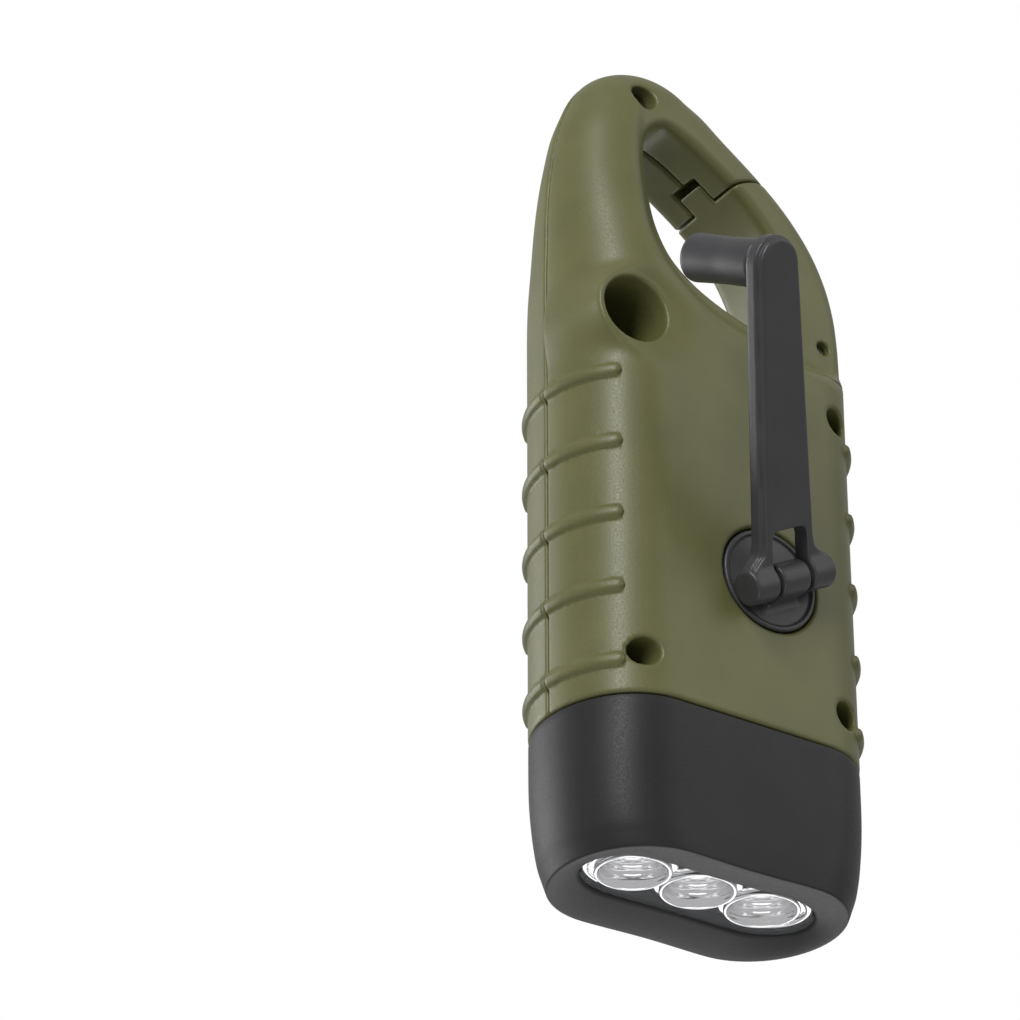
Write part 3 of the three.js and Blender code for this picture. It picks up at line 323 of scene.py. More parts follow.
sunk_outline = Outline(np.vstack([
    [[far_aside, 0.657 * length]], sunk_edge, [[sunk_edge[-1, 0], far_above], [far_aside, far_above]]]))
print("maps:", hook_outline.map.shape, eye_outline.map.shape, sunk_outline.map.shape)

# %% [markdown]
# ## The form of the housing
# Across its depth the housing is a pillow: flat in the middle, with elliptic sides, and thinner towards the crown.
# Round the eye the face is sunk, with a ramp up to the pillow, and five low round finger ribs ride on each side. As
# one field the forms blend without a seam.

# %% The blank of the housing
rib_count, rib_lowest, rib_pitch, rib_half, rib_height, rib_end = 5, 27.85, 11.88, 1.15, 0.8, 21.2
shell_bottom, hollow_top, seam, wall, blend = 22.7, 84.5, 0.3, 2, 1.6
land = 0.2  # half of the straight band along the parting line
sunk_face, ramp_start, ramp_slope = 8, 1, 0.9
ramp_scale = 0.74  # about 1 / hypot(1, ramp_slope)


def pillow(inset, y, rounding, half):
    """Ellipse with half axes rounding and half: n (n - 1) / |slope of n|, where n is 1 on the ellipse."""
    in_x, in_y = np.clip(rounding - inset, 1e-6, None), np.clip(np.abs(y) - land, 1e-6, None)
    tall = half - land
    near = np.hypot(in_x / rounding, in_y / tall)
    return near * (near - 1) / np.hypot(in_x / rounding ** 2, in_y / tall ** 2)


taper = curve_through([[0.6, 1], [0.66, 1], [0.695, 0.975], [0.735, 0.915], [0.803, 0.8], [0.86, 0.715],
                       [0.925, 0.655], [1, 0.61], [1.1, 0.6]], 200)


def hook_form(x, y, z):
    """Pillow over the hook's outline, thinner towards the crown, with the face round the eye sunk on both sides."""
    thin = np.interp(z / length, taper[:, 0], taper[:, 1])
    form = pillow(-hook_outline(x, z), y / thin, side_rounding, half_depth) * (0.5 + 0.5 * thin)
    away = sunk_outline(x, z)
    ramp = np.where(away > -ramp_start, (away + ramp_start) ** 2 / (4 * ramp_start), 0)
    ramp = np.where(away > ramp_start, away, ramp)
    return both(form, (np.abs(y) - sunk_face - ramp_slope * ramp) * ramp_scale, blend)


def blank(x, y, z):
    """The whole housing before it is split: hook, eye, ribs and the flat lower end."""
    form = hook_form(x, y, z)
    rib = np.clip(np.round((z - rib_lowest) / rib_pitch), 0, rib_count - 1) * rib_pitch + rib_lowest
    aside = np.hypot(np.clip(rib_end - np.abs(x), 0, None), z - rib) / rib_half
    form = form - rib_height * np.sqrt(np.clip(1 - aside ** 2, 0, 1))
    form = without(form, eye_outline(x, z), blend)
    return both(form, shell_bottom - z, 0.7)


def hollow(x, y, z):
    """Room inside the housing: a smaller pillow, one wall in from the outside."""
    inset = np.minimum(half_width - wall - np.abs(x), hollow_top - z)
    return pillow(inset, y, side_rounding - wall, half_depth - wall)


print("ribs at z =", [round(rib_lowest + order * rib_pitch, 2) for order in range(rib_count)], "mm")

# %% [markdown]
# The gate of the hook is cut out of the same blank by arcs about its rivet, so that it can swing. The tongue of the
# housing stands between its two cheeks and carries the rivet, and a flat catch at the gate's end lies in a slot of
# the hook's nose.

# %% The gate's zone and the tongue
pivot = (-20.0, 95.0)
tip_arc, heel_disc, gate_gap = 28.8, 7.6, 0.3
tongue_disc, tongue_half, neck_x, neck_z, neck_half = 6.3, 3.5, 5.4, -7.2, 3.6
coil_room, coil_half, tongue_hole = 3.3, 1.9, 1.16
catch, catch_room = (32.0, 2.5, 2.4), (33.4, 2.8, 2.7)  # reach, half thickness and depth into the wall
catch_start, catch_low = 28.0, 114
slot_disc, slot_half, gate_hole = 8.2, 3.8, 1.17
gate_zone_outline = Outline(np.vstack([
    [[-55, pivot[1]]], [pivot], on_body([[-0.537, 0.7], [-0.16, 0.8], [-0.08, 0.843], [-0.16, 0.9]]),
    [[-55, length]]]), margin=40)


def gate_zone(x, z):
    """Part of the outline that swings: a sector inside the tip's arc, and the heel's disc."""
    return either(both(gate_zone_outline(x, z), rod(x, z, pivot, tip_arc)), rod(x, z, pivot, heel_disc))


def tongue(x, y, z):
    """Disc with a neck, which is a rod swept along a line, hollowed for the spring and bored for the rivet."""
    along = ((x - pivot[0]) * neck_x + (z - pivot[1]) * neck_z) / (neck_x ** 2 + neck_z ** 2)
    along = np.clip(along, 0, 1)
    neck = np.hypot(x - pivot[0] - along * neck_x, z - pivot[1] - along * neck_z) - neck_half
    form = both(either(rod(x, z, pivot, tongue_disc), neck), np.abs(y) - tongue_half, 0.4)
    form = both(form, hook_form(x, y, z), 0.4)
    form = without(form, both(rod(x, z, pivot, coil_room), np.abs(y) - coil_half))
    return without(form, rod(x, z, pivot, tongue_hole))


def latch(x, y, z, reach, half, deep):
    """Flat catch at the gate's end, along the eye's wall, out to a radius about the rivet."""
    away = rod(x, z, pivot, 0)
    return both(both(between(away, catch_start, reach), np.abs(y) - half),
                both(eye_outline(x, z) - deep, catch_low - z))


def carabiner_gate(x, y, z):
    """The blank inside the gate's zone with its catch, slotted for the tongue."""
    form = both(blank(x, y, z), gate_zone(x, z), 0.35)
    form = either(form, both(latch(x, y, z, *catch), blank(x, y, z), 0.3))
    form = without(form, both(rod(x, z, pivot, slot_disc), np.abs(y) - slot_half), 0.3)
    return without(form, rod(x, z, pivot, gate_hole))


gate = piece("hook_gate", *skin(carabiner_gate, (-26, -12.4, 86), (4, 12.4, 125), 0.34), "gate", "carabiner_gate")

# %% [markdown]
# ## The two half shells
# The crank side carries the knob's pocket, the recess of the hub and four screw wells, with bosses inside. Both half
# shells are hollow, and both are cut at the seam from the same field, so their outsides meet exactly.

# %% The crank side
hub = (-3.8, 46.7)
pocket = (17.672, 86.247)  # 45 mm from the hub along the folded arm
pocket_radius, pocket_floor, pocket_mouth = 5.2, 1.05, 5.72
swell_radius, swell_low, swell_top, swell_draft = 7.2, 3, 12.9, 0.0909
swell_scale = 0.996  # about 1 / hypot(1, swell_draft)
dish_radius, dish_top, dish_rim = 6.2, 15.2, 11.2
hub_boss, hub_boss_low, hub_room, hub_floor, shaft_hole = 10.3, 10.3, 8.3, 12.3, 3.1
boss, skin_gap, well, well_floor = 2.9, 0.4, 2.2, 3.1
button_height, button_hole = 35, 2.9
screws = [(17.5, 29.3), (-17.5, 29.3), tuple(on_body([-0.716, 0.5745])), tuple(on_body([0.478, 0.9425]))]


def shell(x, y, z):
    """Blank less the hollow and the gate's zone with its gap, plus the tongue."""
    form = without(blank(x, y, z), hollow(x, y, z), 0.5)
    form = without(form, gate_zone(x, z) - gate_gap, 0.3)
    form = without(form, latch(x, y, z, *catch_room), 0.2)
    return either(form, tongue(x, y, z), 0.2)


def button_bore(x, y, z):
    """Round hole for the button, along X and in the gate's side only."""
    return rod(y, z, (0, button_height), button_hole) + np.where(x > -20, 9, 0)


def tapered(x, y, z, centre, low, low_radius, high, high_radius):
    """Cone about Y between two heights with a radius at each, and flat ends."""
    slope = (high_radius - low_radius) / (high - low)
    side = (rod(x, z, centre, low_radius) - slope * (y - low)) / math.hypot(1, slope)
    return both(side, between(y, low, high))


def back_shell(x, y, z):
    """Crank side: the shell above the parting plane with its pocket, recess, wells and bosses."""
    form = shell(x, y, z)
    swell = (rod(x, z, pocket, swell_radius) + swell_draft * (y - swell_low)) * swell_scale
    form = either(form, both(both(swell, y - swell_top, 1.0), -y), 3.0)
    form = without(form, tapered(x, y, z, pocket, swell_top, dish_radius, dish_top, dish_rim), 1.2)
    inner = either(both(rod(x, z, hub, hub_boss), hub_boss_low - y), rods(x, z, screws, boss), 0.4)
    inner = both(inner, blank(x, y, z) + skin_gap)
    form = either(form, both(inner, gate_gap - gate_zone(x, z)), 0.4)
    bore = either(both(rod(x, z, pocket, pocket_radius), pocket_floor - y),
                  tapered(x, y, z, pocket, 10.4, pocket_radius, 16, pocket_mouth))
    form = without(form, bore, 0.6)
    form = without(form, both(rod(x, z, hub, hub_room), hub_floor - y), 0.5)
    form = without(form, rod(x, z, hub, shaft_hole))
    form = without(form, both(rods(x, z, screws, well), well_floor - y), 0.5)
    form = without(form, button_bore(x, y, z), 0.4)
    return both(form, seam / 2 - y, 0.45)


crank_side = piece("crank_side_shell", *skin(back_shell, (-26.6, -0.4, 22), (26.6, 15.2, 137.9), 0.42),
                   "housing", "back_shell")

# %% [markdown]
# The solar side has a recess for the panel's frame. One upright outline serves for both, a little larger for the
# recess: its corners are bends, and its arched top is a parabola.

# %% The solar side
panel_half, panel_bottom, panel_shoulder, panel_crown, panel_corner = 15.5, 28.2, 75.8, 78.5, 3.0
arch_start, panel_gap, panel_floor = 0.5, 0.3, -12.6
pad_half, pad_ends, pad_depth = 17, (26.2, 80.5), (-15, -11.2)
pilot_hole, pilot_end = 1.0, -6.7
right_edge = np.vstack([
    bend((panel_half - panel_corner, panel_bottom), (panel_half, panel_bottom),
         (panel_half, panel_bottom + panel_corner)),
    bend((panel_half, panel_shoulder - panel_corner), (panel_half, panel_shoulder),
         (panel_half - panel_corner, panel_shoulder + arch_start))])
across = np.linspace(-1, 1, 48)[::-1, None]
arch = np.hstack([across * (panel_half - panel_corner), panel_shoulder + arch_start
                  + (panel_crown - panel_shoulder - arch_start) * (1 - across ** 2)])
panel = Outline(np.vstack([right_edge, arch[1:-1], right_edge[::-1] * [-1, 1]]))


def front_shell(x, y, z):
    """Solar side: the shell below the parting plane with the recess of the panel."""
    form = shell(x, y, z)
    pad = both(both(np.abs(x) - pad_half, between(z, *pad_ends)), between(y, *pad_depth))
    pad = either(pad, rods(x, z, screws, boss), 0.4)
    pad = both(both(pad, blank(x, y, z) + skin_gap), gate_gap - gate_zone(x, z))
    form = either(form, pad, 0.4)
    form = without(form, both(panel(x, z) - panel_gap, y - panel_floor), 0.4)
    form = without(form, both(rods(x, z, screws, pilot_hole), pilot_end - y))
    form = without(form, button_bore(x, y, z), 0.4)
    return both(form, y + seam / 2, 0.45)


solar_side = piece("solar_side_shell", *skin(front_shell, (-26.6, -15.2, 22), (26.6, 0.4, 137.9), 0.42),
                   "housing", "front_shell")

# %% [markdown]
# ## The crank
# The arm is two thin layers, the upper one a little smaller, with two ears round the hinge pin and a rounded slot
# above the hub's knuckle. It is worked out lying flat along its own length, and then lifted about the hinge.

# %% The arm's own frame
heading, lift = math.radians(28.5), math.radians(32)
hinge_height, hinge_back, reach = 17.1, 1.2, 45.2
knuckle_radius, knuckle_half, ear_half, pin_hole = 2.55, 2.7, 7.5, 1.08
slot_half, slot_start, slot_corner = 2.1, 6.0, 1.45
hinge = np.array([hub[0] - hinge_back * math.sin(heading), hinge_height, hub[1] - hinge_back * math.cos(heading)])
along_hub = np.array([math.sin(heading), 0, math.cos(heading)])
across_hub = np.array([math.cos(heading), 0, -math.sin(heading)])
along_arm = along_hub * math.cos(lift) + np.array([0, 1, 0]) * math.sin(lift)
above_arm = np.array([0, 1, 0]) * math.cos(lift) - along_hub * math.sin(lift)


def in_frame(points, origin, across, above, along):
    """Points (a, b, c) of a piece's own frame as origin + a across + b above + c along."""
    return np.asarray(origin) + points @ np.array([across, above, along])


def arm_outline(grow):
    """Ears, a waist and a straight taper to the half circle of the tip, as one closed outline, grown by a margin."""
    right = curve_through(np.array([[ear_half, 0], [7.5, 1.4], [7.2, 2.7], [6.4, 3.5], [5.6, 4.3], [5.25, 6.0]])
                          + [grow, 0], 26)
    tip, turn = 4.25 + grow, np.linspace(0, math.pi, 36)
    return np.vstack([right, rows(tip * np.cos(turn), reach + tip * np.sin(turn)), right[::-1] * [-1, 1]])


arm_wide, arm_upper = Outline(arm_outline(0)), Outline(arm_outline(-0.45))


def arm_form(a, b, c):
    """Two layers, ears round the pin, the slot, the bore of the pin and of the knob's stud."""
    lower = both(arm_wide(a, c), between(b, -1.6, 0.35), 0.35)
    upper = both(arm_upper(a, c), between(b, -1, 1.2), 0.5)
    ears = both(rod(b, c, (0, 0), knuckle_radius), np.abs(a) - ear_half - 0.5, 0.5)
    form = either(either(lower, upper), ears, 0.8)
    slot = np.hypot(np.clip(np.abs(a) - slot_half, 0, None), np.clip(c - slot_start, 0, None)) - slot_corner
    form = without(form, slot, 0.3)
    return without(form, both(rod(b, c, (0, 0), pin_hole), np.abs(a) - ear_half + 0.2))


points, faces = skin(arm_form, (-8.6, -3.2, -3.2), (8.6, 3.2, 50.2), 0.24)
arm = piece("arm", in_frame(points, hinge, across_hub, above_arm, along_arm), faces, "arm", "crank_arm")

# %% [markdown]
# The hub turns in its recess and carries the arm. It is a shallow dish with one knuckle between the arm's ears, and
# its own frame is turned to the arm's heading.

# %% The hub's disc and knuckle
disc_radius, disc_low, disc_top, dish_floor = 8, 12.6, 14.3, 14.0
shaft_radius, shaft_top, knuckle_hole = 1.56, 13.8, 1.06
pin_line = (hinge_height, -hinge_back)


def hub_form(a, b, c):
    """Disc with a thin raised rim, and one knuckle on a stem under the hinge."""
    disc = both(rod(a, c, (0, 0), disc_radius), between(b, disc_low, disc_top), 0.5)
    disc = without(disc, both(rod(a, c, (0, 0), disc_radius - 0.8), dish_floor - b), 0.3)
    knuckle = both(rod(b, c, pin_line, knuckle_radius), np.abs(a) - knuckle_half, 0.4)
    stem = both(np.abs(a) - knuckle_half, np.abs(c + hinge_back) - knuckle_radius)
    stem = both(stem, between(b, disc_low + 0.2, hinge_height), 0.4)
    form = either(disc, either(knuckle, stem, 0.2), 1.0)
    form = without(form, both(rod(a, c, (0, 0), shaft_radius), b - shaft_top))
    return without(form, rod(b, c, pin_line, knuckle_hole))


points, faces = skin(hub_form, (-8.6, 12, -8.6), (8.6, 20.2, 8.6), 0.24)
hub_top = piece("hub", in_frame(points, (hub[0], 0, hub[1]), across_hub, (0, 1, 0), along_hub), faces,
                "crank", "crank_hub")

# %% [markdown]
# The knob turns on the arm's tip. It is round and a little slimmer in the middle, so a turned profile is enough.

# %% The knob
knob_near, knob_far, knob_radius, knob_waist = -1.9, -15.7, 3.6, 3.4
knob_origin = hinge + reach * along_arm
knob_profile = rounded([(0, knob_near), (knob_radius, knob_near), (knob_waist, (knob_near + knob_far) / 2),
                        (knob_radius, knob_far), (0, knob_far)], 0.9, 8)
knob = piece("knob", *turned(knob_profile[::-1], knob_origin, above_arm, across_hub, 96), "knob", "crank_knob")

# %% [markdown]
# ## The head
# The black head is a skin through rings with two nearly straight faces and two elliptic sides, because each ring can
# be set to what the photograph shows at its height. They shrink from the seam to the bezel, sink a little towards the
# oblong opening, and come back inside.

# %% Rings of the head
def ring(wide, deep, side, height, waist=0.0, spots=40):
    """Flattened ring: half ellipses of the given reach at both sides, and faces between them drawn in to a waist."""
    angle = np.linspace(-math.pi / 2, math.pi / 2, spots)
    right = rows(wide - side + side * np.cos(angle), deep * np.sin(angle))
    share = np.linspace(1, -1, 30)[1:-1]
    face = rows(share * (wide - side), deep - waist * np.cos(share * math.pi / 2) ** 2)
    outline = np.vstack([right, face, right[::-1] * [-1, 1], -face])
    return np.hstack([outline, np.full((len(outline), 1), height)])


cap_height = 22.4
outside = [[0, .893, .920], [.002, .899, .927], [.008, .904, .932], [.03, .912, .937], [.08, .928, .945],
           [.18, .957, .958], [.35, .982, .972], [.62, .999, .993], [1, 1, 1]]  # shares of height, width and depth
opening, edge_height, waist, dishing = np.array([18.95, 6.5, 7.9]), 1.3, 0.3, 1.4
bezel = np.array([half_width * 0.885, half_depth * 0.91, 11.4])
spigot, shoulder, lining = (23.0, 12.2, 10), (24.6, 13.75, 11.6), (21.4, 10.8, 9)
spigot_top, opening_back, seam_groove = 25.6, 3.3, 0.12
cap_rings = [ring(*spigot, spigot_top), ring(*spigot, cap_height + 0.1), ring(*shoulder, cap_height)]
for share, wide, deep in curve_through(outside, 80)[::-1]:
    groove = seam_groove * (share > 0.99)
    cap_rings.append(ring(half_width * wide - groove, half_depth * deep - groove, side_rounding,
                          share * cap_height, waist * (1 - share) ** 2))
cap_rings += [ring(*(bezel + (opening - bezel) * share), edge_height * share ** dishing, waist)
              for share in np.linspace(0, 0.97, 12)]
cap_rings += [ring(*opening, height, waist) for height in (edge_height + 0.15, opening_back)]
cap_rings += [ring(*lining, height) for height in (opening_back, spigot_top)]
ring_size = len(cap_rings[0])
head = piece("head", np.vstack(cap_rings), grid_faces(len(cap_rings), ring_size, closed=True)[:, ::-1],
             "housing", "head_cap", flat_angle=50)

# %% [markdown]
# ## Reflector and LEDs
# Behind the window sit three bright cups in one flat flange. Each cup is a parabola carried round the LED's axis,
# with fine steps in it that break the light up. The flange is a thin field with a low step round each cup, a rim at
# both ends and the mouths cut out. The clear window before it is an oblong plate of the same form.

# %% The flange
led_pitch, cup_face, flange_face, flange_back, mouth = 11.05, 1.9, 3.4, 4.2, 5.0
step_radius, step_height, rim_height, rim_start = 6.35, 0.8, 1.1, 13
lens_half, lens_depth, lens_front, lens_back = 18.85, 6.3, 1.4, 1.75
led_places = [(-led_pitch, 0), (0, 0), (led_pitch, 0)]


def end_oval(x, y, wide, deep):
    """Distance to an oblong whose ends are half ellipses round the outer cups."""
    return np.maximum(np.hypot(np.clip(np.abs(x) - led_pitch, 0, None) / (wide - led_pitch), y / deep) * deep - deep,
                      np.abs(y) - deep)


def flange_form(x, y, z):
    """Flat oblong plate with a low step round each cup, a rim at both ends and three round mouths."""
    form = both(end_oval(x, y, 21.2, 10.5), between(z, flange_face, flange_back), 0.2)
    raised = rods(x, y, led_places, step_radius)
    form = either(form, both(raised, between(z, flange_face - step_height, 4.0), 0.25), 0.15)
    rim = both(between(end_oval(x, y, 18.9, 6.4), -1.0, -0.1), rim_start - np.abs(x))
    form = either(form, both(rim, between(z, flange_face - rim_height, 4.0), 0.3), 0.15)
    return without(form, rods(x, y, led_places, mouth), 0.2)


flange = piece("reflector_flange", *skin(flange_form, (-22, -11, 2), (22, 11, 4.6), 0.24), "housing", "reflector")


def window_form(x, y, z):
    """Thin clear plate just behind the opening: the same oblong between two planes."""
    return both(end_oval(x, y, lens_half, lens_depth), between(z, lens_front, lens_back), 0.15)


lens = piece("lens", *skin(window_form, (-19.4, -7, 1.1), (19.4, 7, 2.1), 0.2), "housing", "lens_window")

# %% [markdown]
# Each cup has a round bead for a lip, a stepped bowl and an outside, all in one closed profile. An LED is a clear
# dome on a collar, and the dot inside it is the chip with its phosphor.

# %% The cups and the LEDs
bowl_mouth, bowl_neck, bowl_width, ripples, ripple_depth = 4.8, 2.6, 4.1, 4, 0.2
across_bowl = np.linspace(bowl_mouth, bowl_neck, 60)
inward = (bowl_mouth - across_bowl) / (bowl_mouth - bowl_neck)
steps = ripple_depth * np.abs(np.sin(inward * math.pi * ripples)) ** 1.5
bowl = rows(across_bowl, cup_face + 0.5 + (bowl_mouth ** 2 - across_bowl ** 2) / bowl_width - steps)
bead = [[5.55, flange_face + 0.1], [5.55, cup_face + 0.4], [5.5, cup_face + 0.15], [5.36, cup_face + 0.02],
        [5.2, cup_face], [5.02, cup_face + 0.05], [4.88, cup_face + 0.2]]
cup_out = rows(bowl[::-1, 0] + 0.5, np.maximum(bowl[::-1, 1], flange_face) + 0.4)
cup_profile = np.vstack([bead, bowl, cup_out])
cup_faces = grid_faces(len(cup_profile), 96, closed=True)[:, ::-1]
led_tip, led_radius = 5.4, 2.45
dome = np.linspace(0, math.pi / 2, 14)
led_profile = np.vstack([
    rows(led_radius * np.sin(dome), led_tip + led_radius * (1 - np.cos(dome))),
    [[led_radius, 13.1], [2.55, 13.2], [2.85, 13.25], [2.85, 14.4], [0, 14.4]]])
chip = rounded([(0, 9.2), (0.9, 9.2), (1.25, 9.9), (1.25, 10.6), (0, 10.6)], 0.15)
cups, lamps, chips = [], [], []
for order, place in enumerate(led_places, 1):
    middle = (*place, 0)
    cups.append(piece(f"cup_{order}", turned(cup_profile, middle, sides=96)[0], cup_faces, "housing"))
    lamps.append(piece(f"led_lens_{order}", *turned(led_profile, middle, sides=48), "housing", f"led_{order}"))
    chips.append(piece(f"led_chip_{order}", *turned(chip, middle, sides=32), "housing"))

# %% [markdown]
# ## Solar panel
# A black frame with round corners holds the cell behind clear plastic. Its face steps down to the window, and a
# slim ridge runs down each long side. As a field, the step and the ridges blend into the face.

# %% The panel's frame
window_half, window_bottom, window_top, corner, nick = 10.0, 34.2, 69.8, 1.7, 0.5
frame_face, frame_back, step_face, step_margin = -15.6, -12.9, -15.15, 3.6
ridge_aside, ridge_half, ridge_long, ridge_face = 12.6, 0.7, 17.8, -16.1
rebate_margin, rebate_face = 1.9, -14.8
window_outline = Outline([
    [-window_half, window_bottom], [window_half - corner, window_bottom],
    [window_half - nick, window_bottom + nick], [window_half, window_bottom + corner], [window_half, window_top],
    [-window_half + corner, window_top], [-window_half + nick, window_top - nick],
    [-window_half, window_top - corner]])


def frame_form(x, y, z):
    """Plate with a step down to the window, two ridges and a rebate for the clear plate."""
    window = window_outline(x, z)
    plate = both(panel(x, z), between(y, frame_face, frame_back), 1.2)
    plate = without(plate, both(window - step_margin, y - step_face), 0.5)
    beyond = np.clip(np.abs(z - (window_bottom + window_top) / 2) - ridge_long, 0, None)
    ridge = np.hypot(x - np.sign(x) * ridge_aside, beyond) - ridge_half
    plate = either(plate, both(ridge, between(y, ridge_face, -13), 0.5), 0.3)
    return without(without(plate, window, 0.5), both(window - rebate_margin, rebate_face - y))


panel_frame = piece("panel_frame", *skin(frame_form, (-16, -16.6, 27.6), (16, -12.4, 79.4), 0.26),
                    "housing", "solar_frame")

# %% [markdown]
# The small hardware is turned: the push button, the screws at the bottom of their wells with a blind socket in the
# head, and the rivet, whose rounded ends show on both faces of the hook.

# %% Button, screws and rivet
button_profile = rounded([(0, -25.95), (2.8, -25.95), (2.8, -22.35), (3.5, -22.35), (3.5, -21.45), (1, -21.45),
                          (1, -20.85), (0, -20.85)], 0.35, 5)
button = piece("button", *turned(button_profile, (0, 0, button_height), (1, 0, 0), (0, 0, 1), 64),
               "button", "power_button")
screw_profile = rounded([(0, 3.4), (1.9, 3.4), (1.9, 4.9), (0.9, 5.1), (0.5, 4.3), (0, 4.2)], 0.2, 4)
fasteners = [piece(f"screw_{order}", *turned(screw_profile[::-1], (x, 0, z), (0, 1, 0), (0, 0, 1), 40), "housing",
                   f"shell_screw_{order}") for order, (x, z) in enumerate(screws, 1)]
rivet_profile = rounded([(0, -8.25), (1.1, -8.25), (1.1, 6.7), (0, 6.7)], 0.3, 5)
rivet = piece("rivet", *turned(rivet_profile, (pivot[0], 0, pivot[1]), (0, 1, 0), (0, 0, 1), 40),
              "housing", "gate_pin")

# %% [markdown]
# # Finishes
# Shader maths reads like plain sums: a small class wraps one socket, and its plus, minus and times add the Math
# nodes. Everything else goes through one method that makes a node, gives it its settings and links its sockets.

# %% Sums on surfaces
class Amount:
    """A number that varies over a surface; sums and products of it are Math nodes."""

    def __init__(self, finish, socket):
        self.finish, self.socket = finish, socket

    def _math(self, operation, first, second):
        return self.finish.node("ShaderNodeMath", {"operation": operation}, {0: first, 1: second})

    def __add__(self, other):
        return self._math("ADD", self, other)

    def __sub__(self, other):
        return self._math("SUBTRACT", self, other)

    def __rsub__(self, other):
        return self._math("SUBTRACT", other, self)

    def __mul__(self, other):
        return self._math("MULTIPLY", self, other)

    __radd__, __rmul__ = __add__, __mul__


class Finish:
    """A material built round one Principled shader."""

    def __init__(self, name, **constants):
        self.material = bpy.data.materials.new(name)
        self.material.use_nodes = True
        self.tree = self.material.node_tree
        self.shader = self.tree.nodes["Principled BSDF"]
        for socket, value in constants.items():
            self.shader.inputs[socket.replace("_", " ")].default_value = value
        self.place = self.node("ShaderNodeTexCoord", out="Object")

    def node(self, kind, settings=None, sockets=None, out=0):
        """A node of any type: settings first, then values or links of its sockets, and one output handed back."""
        made = self.tree.nodes.new(kind)
        for setting, value in (settings or {}).items():
            setattr(made, setting, value)
        for socket, value in (sockets or {}).items():
            if isinstance(value, Amount):
                self.tree.links.new(value.socket, made.inputs[socket])
            else:
                made.inputs[socket].default_value = value
        return Amount(self, made.outputs[out])

    def noise(self, size_mm, detail=2.0):
        """Cloudy pattern from 0 to 1 with patches of about the given size."""
        return self.node("ShaderNodeTexNoise", {}, {
            "Vector": self.place, "Scale": 1 / (size_mm * mm), "Detail": detail})

    def band(self, value, low, high, to_low=0.0, to_high=1.0):
        """Value carried from one range to another and held at its ends."""
        return self.node("ShaderNodeMapRange", {"clamp": True}, {
            "Value": value, "From Min": low, "From Max": high, "To Min": to_low, "To Max": to_high})

    def mixed(self, share, first, second):
        """Colour between two colours."""
        return self.node("ShaderNodeMix", {"data_type": "RGBA"}, {0: share, 6: first, 7: second}, out=2)

    def give(self, **varying):
        """Links what varies to the shader."""
        for socket, value in varying.items():
            self.tree.links.new(value.socket, self.shader.inputs[socket.replace("_", " ")])

    def bump(self, height, strength, distance_mm):
        """Fine relief in the surface."""
        self.give(Normal=self.node("ShaderNodeBump", {}, {
            "Height": height, "Strength": strength, "Distance": distance_mm * mm}))


def colour(*rgb):
    """Screen colour from 0 to 255 as linear light."""
    share = np.array(rgb) / 255
    linear = np.where(share <= 0.04045, share / 12.92, ((share + 0.055) / 1.055) ** 2.4)
    return (*linear.tolist(), 1.0)


# %% [markdown]
# The housing is satin green plastic with the fine grain of a sparked mould. A grain of about 0.3 mm breaks up the
# gloss, and a slow cloudiness keeps the colour from looking painted. The black parts differ only in colour and
# gloss, so one function makes them all.

# %% Satin plastics
def satin(name, light, dark, roughness, grain_mm, relief, gloss=0.45):
    """Moulded plastic: two near colours clouded together, a fine grain in relief and in roughness."""
    finish = Finish(name, Specular_IOR_Level=gloss)
    cloud, grain = finish.noise(9, 3), finish.noise(grain_mm)
    finish.give(Base_Color=finish.mixed(finish.band(cloud + grain * 0.35, 0.45, 0.9), colour(*dark), colour(*light)),
                Roughness=finish.band(grain, 0.3, 0.7, roughness - 0.06, roughness + 0.08))
    finish.bump(grain, relief, 0.05)
    return finish.material


olive = satin("green_satin", (106, 106, 65), (97, 98, 58), 0.40, 0.3, 0.3)
black = satin("black_satin", (38, 38, 39), (32, 32, 33), 0.46, 0.25, 0.2, 0.3)
# The crank's black is lighter than the head's black. The extra lightness is a painted sheen that stands in for
# reflections on the arm, hub and knob.
crank_black_painted_sheen = satin("crank_black_painted_sheen", (66, 66, 68), (58, 58, 60), 0.36, 0.3, 0.12, 0.4)
inner_black = satin("inner_black", (30, 30, 31), (25, 25, 26), 0.5, 0.3, 0.2)
nylon = satin("nylon", (232, 228, 216), (222, 217, 203), 0.45, 0.4, 0.1)
magnet = satin("magnet", (60, 60, 64), (50, 50, 54), 0.5, 0.2, 0.2)
sleeve = satin("cell_sleeve", (66, 112, 178), (58, 101, 165), 0.32, 0.6, 0.05)
insulation = satin("lead_insulation", (170, 38, 30), (155, 32, 26), 0.45, 0.5, 0.05)
print("plastics:", len((olive, black, crank_black_painted_sheen, inner_black, nylon, magnet, sleeve, insulation)))

# %% [markdown]
# The reflector and the fasteners are plated, and the inside has brass and copper. A metal's colour is the colour of
# its reflections, so only a fine grain varies it.

# %% Metals
def metal(name, light, dark, roughness, grain_mm=0.15):
    """Metal: a fine grain varies its colour and roughness a little."""
    finish = Finish(name, Metallic=1.0)
    grain = finish.noise(grain_mm)
    finish.give(Base_Color=finish.mixed(grain, colour(*dark), colour(*light)),
                Roughness=finish.band(grain, 0.3, 0.7, roughness * 0.8, roughness * 1.25))
    finish.bump(grain, 0.08, 0.02)
    return finish.material


chrome = metal("reflector_chrome", (244, 244, 245), (238, 238, 240), 0.09, 3.0)
steel = metal("plated_steel", (178, 177, 174), (150, 149, 147), 0.32)
brass = metal("turned_brass", (196, 162, 92), (170, 136, 70), 0.3)
copper = metal("copper_wire", (196, 112, 62), (165, 88, 44), 0.35, 0.4)
print("metals:", [made.name for made in (chrome, steel, brass, copper)])

# %% [markdown]
# The windows and the domes are thin, so they are made see-through by alpha and keep their gloss by a coat. The cell
# is brown, with fine bright lines where its strips meet.

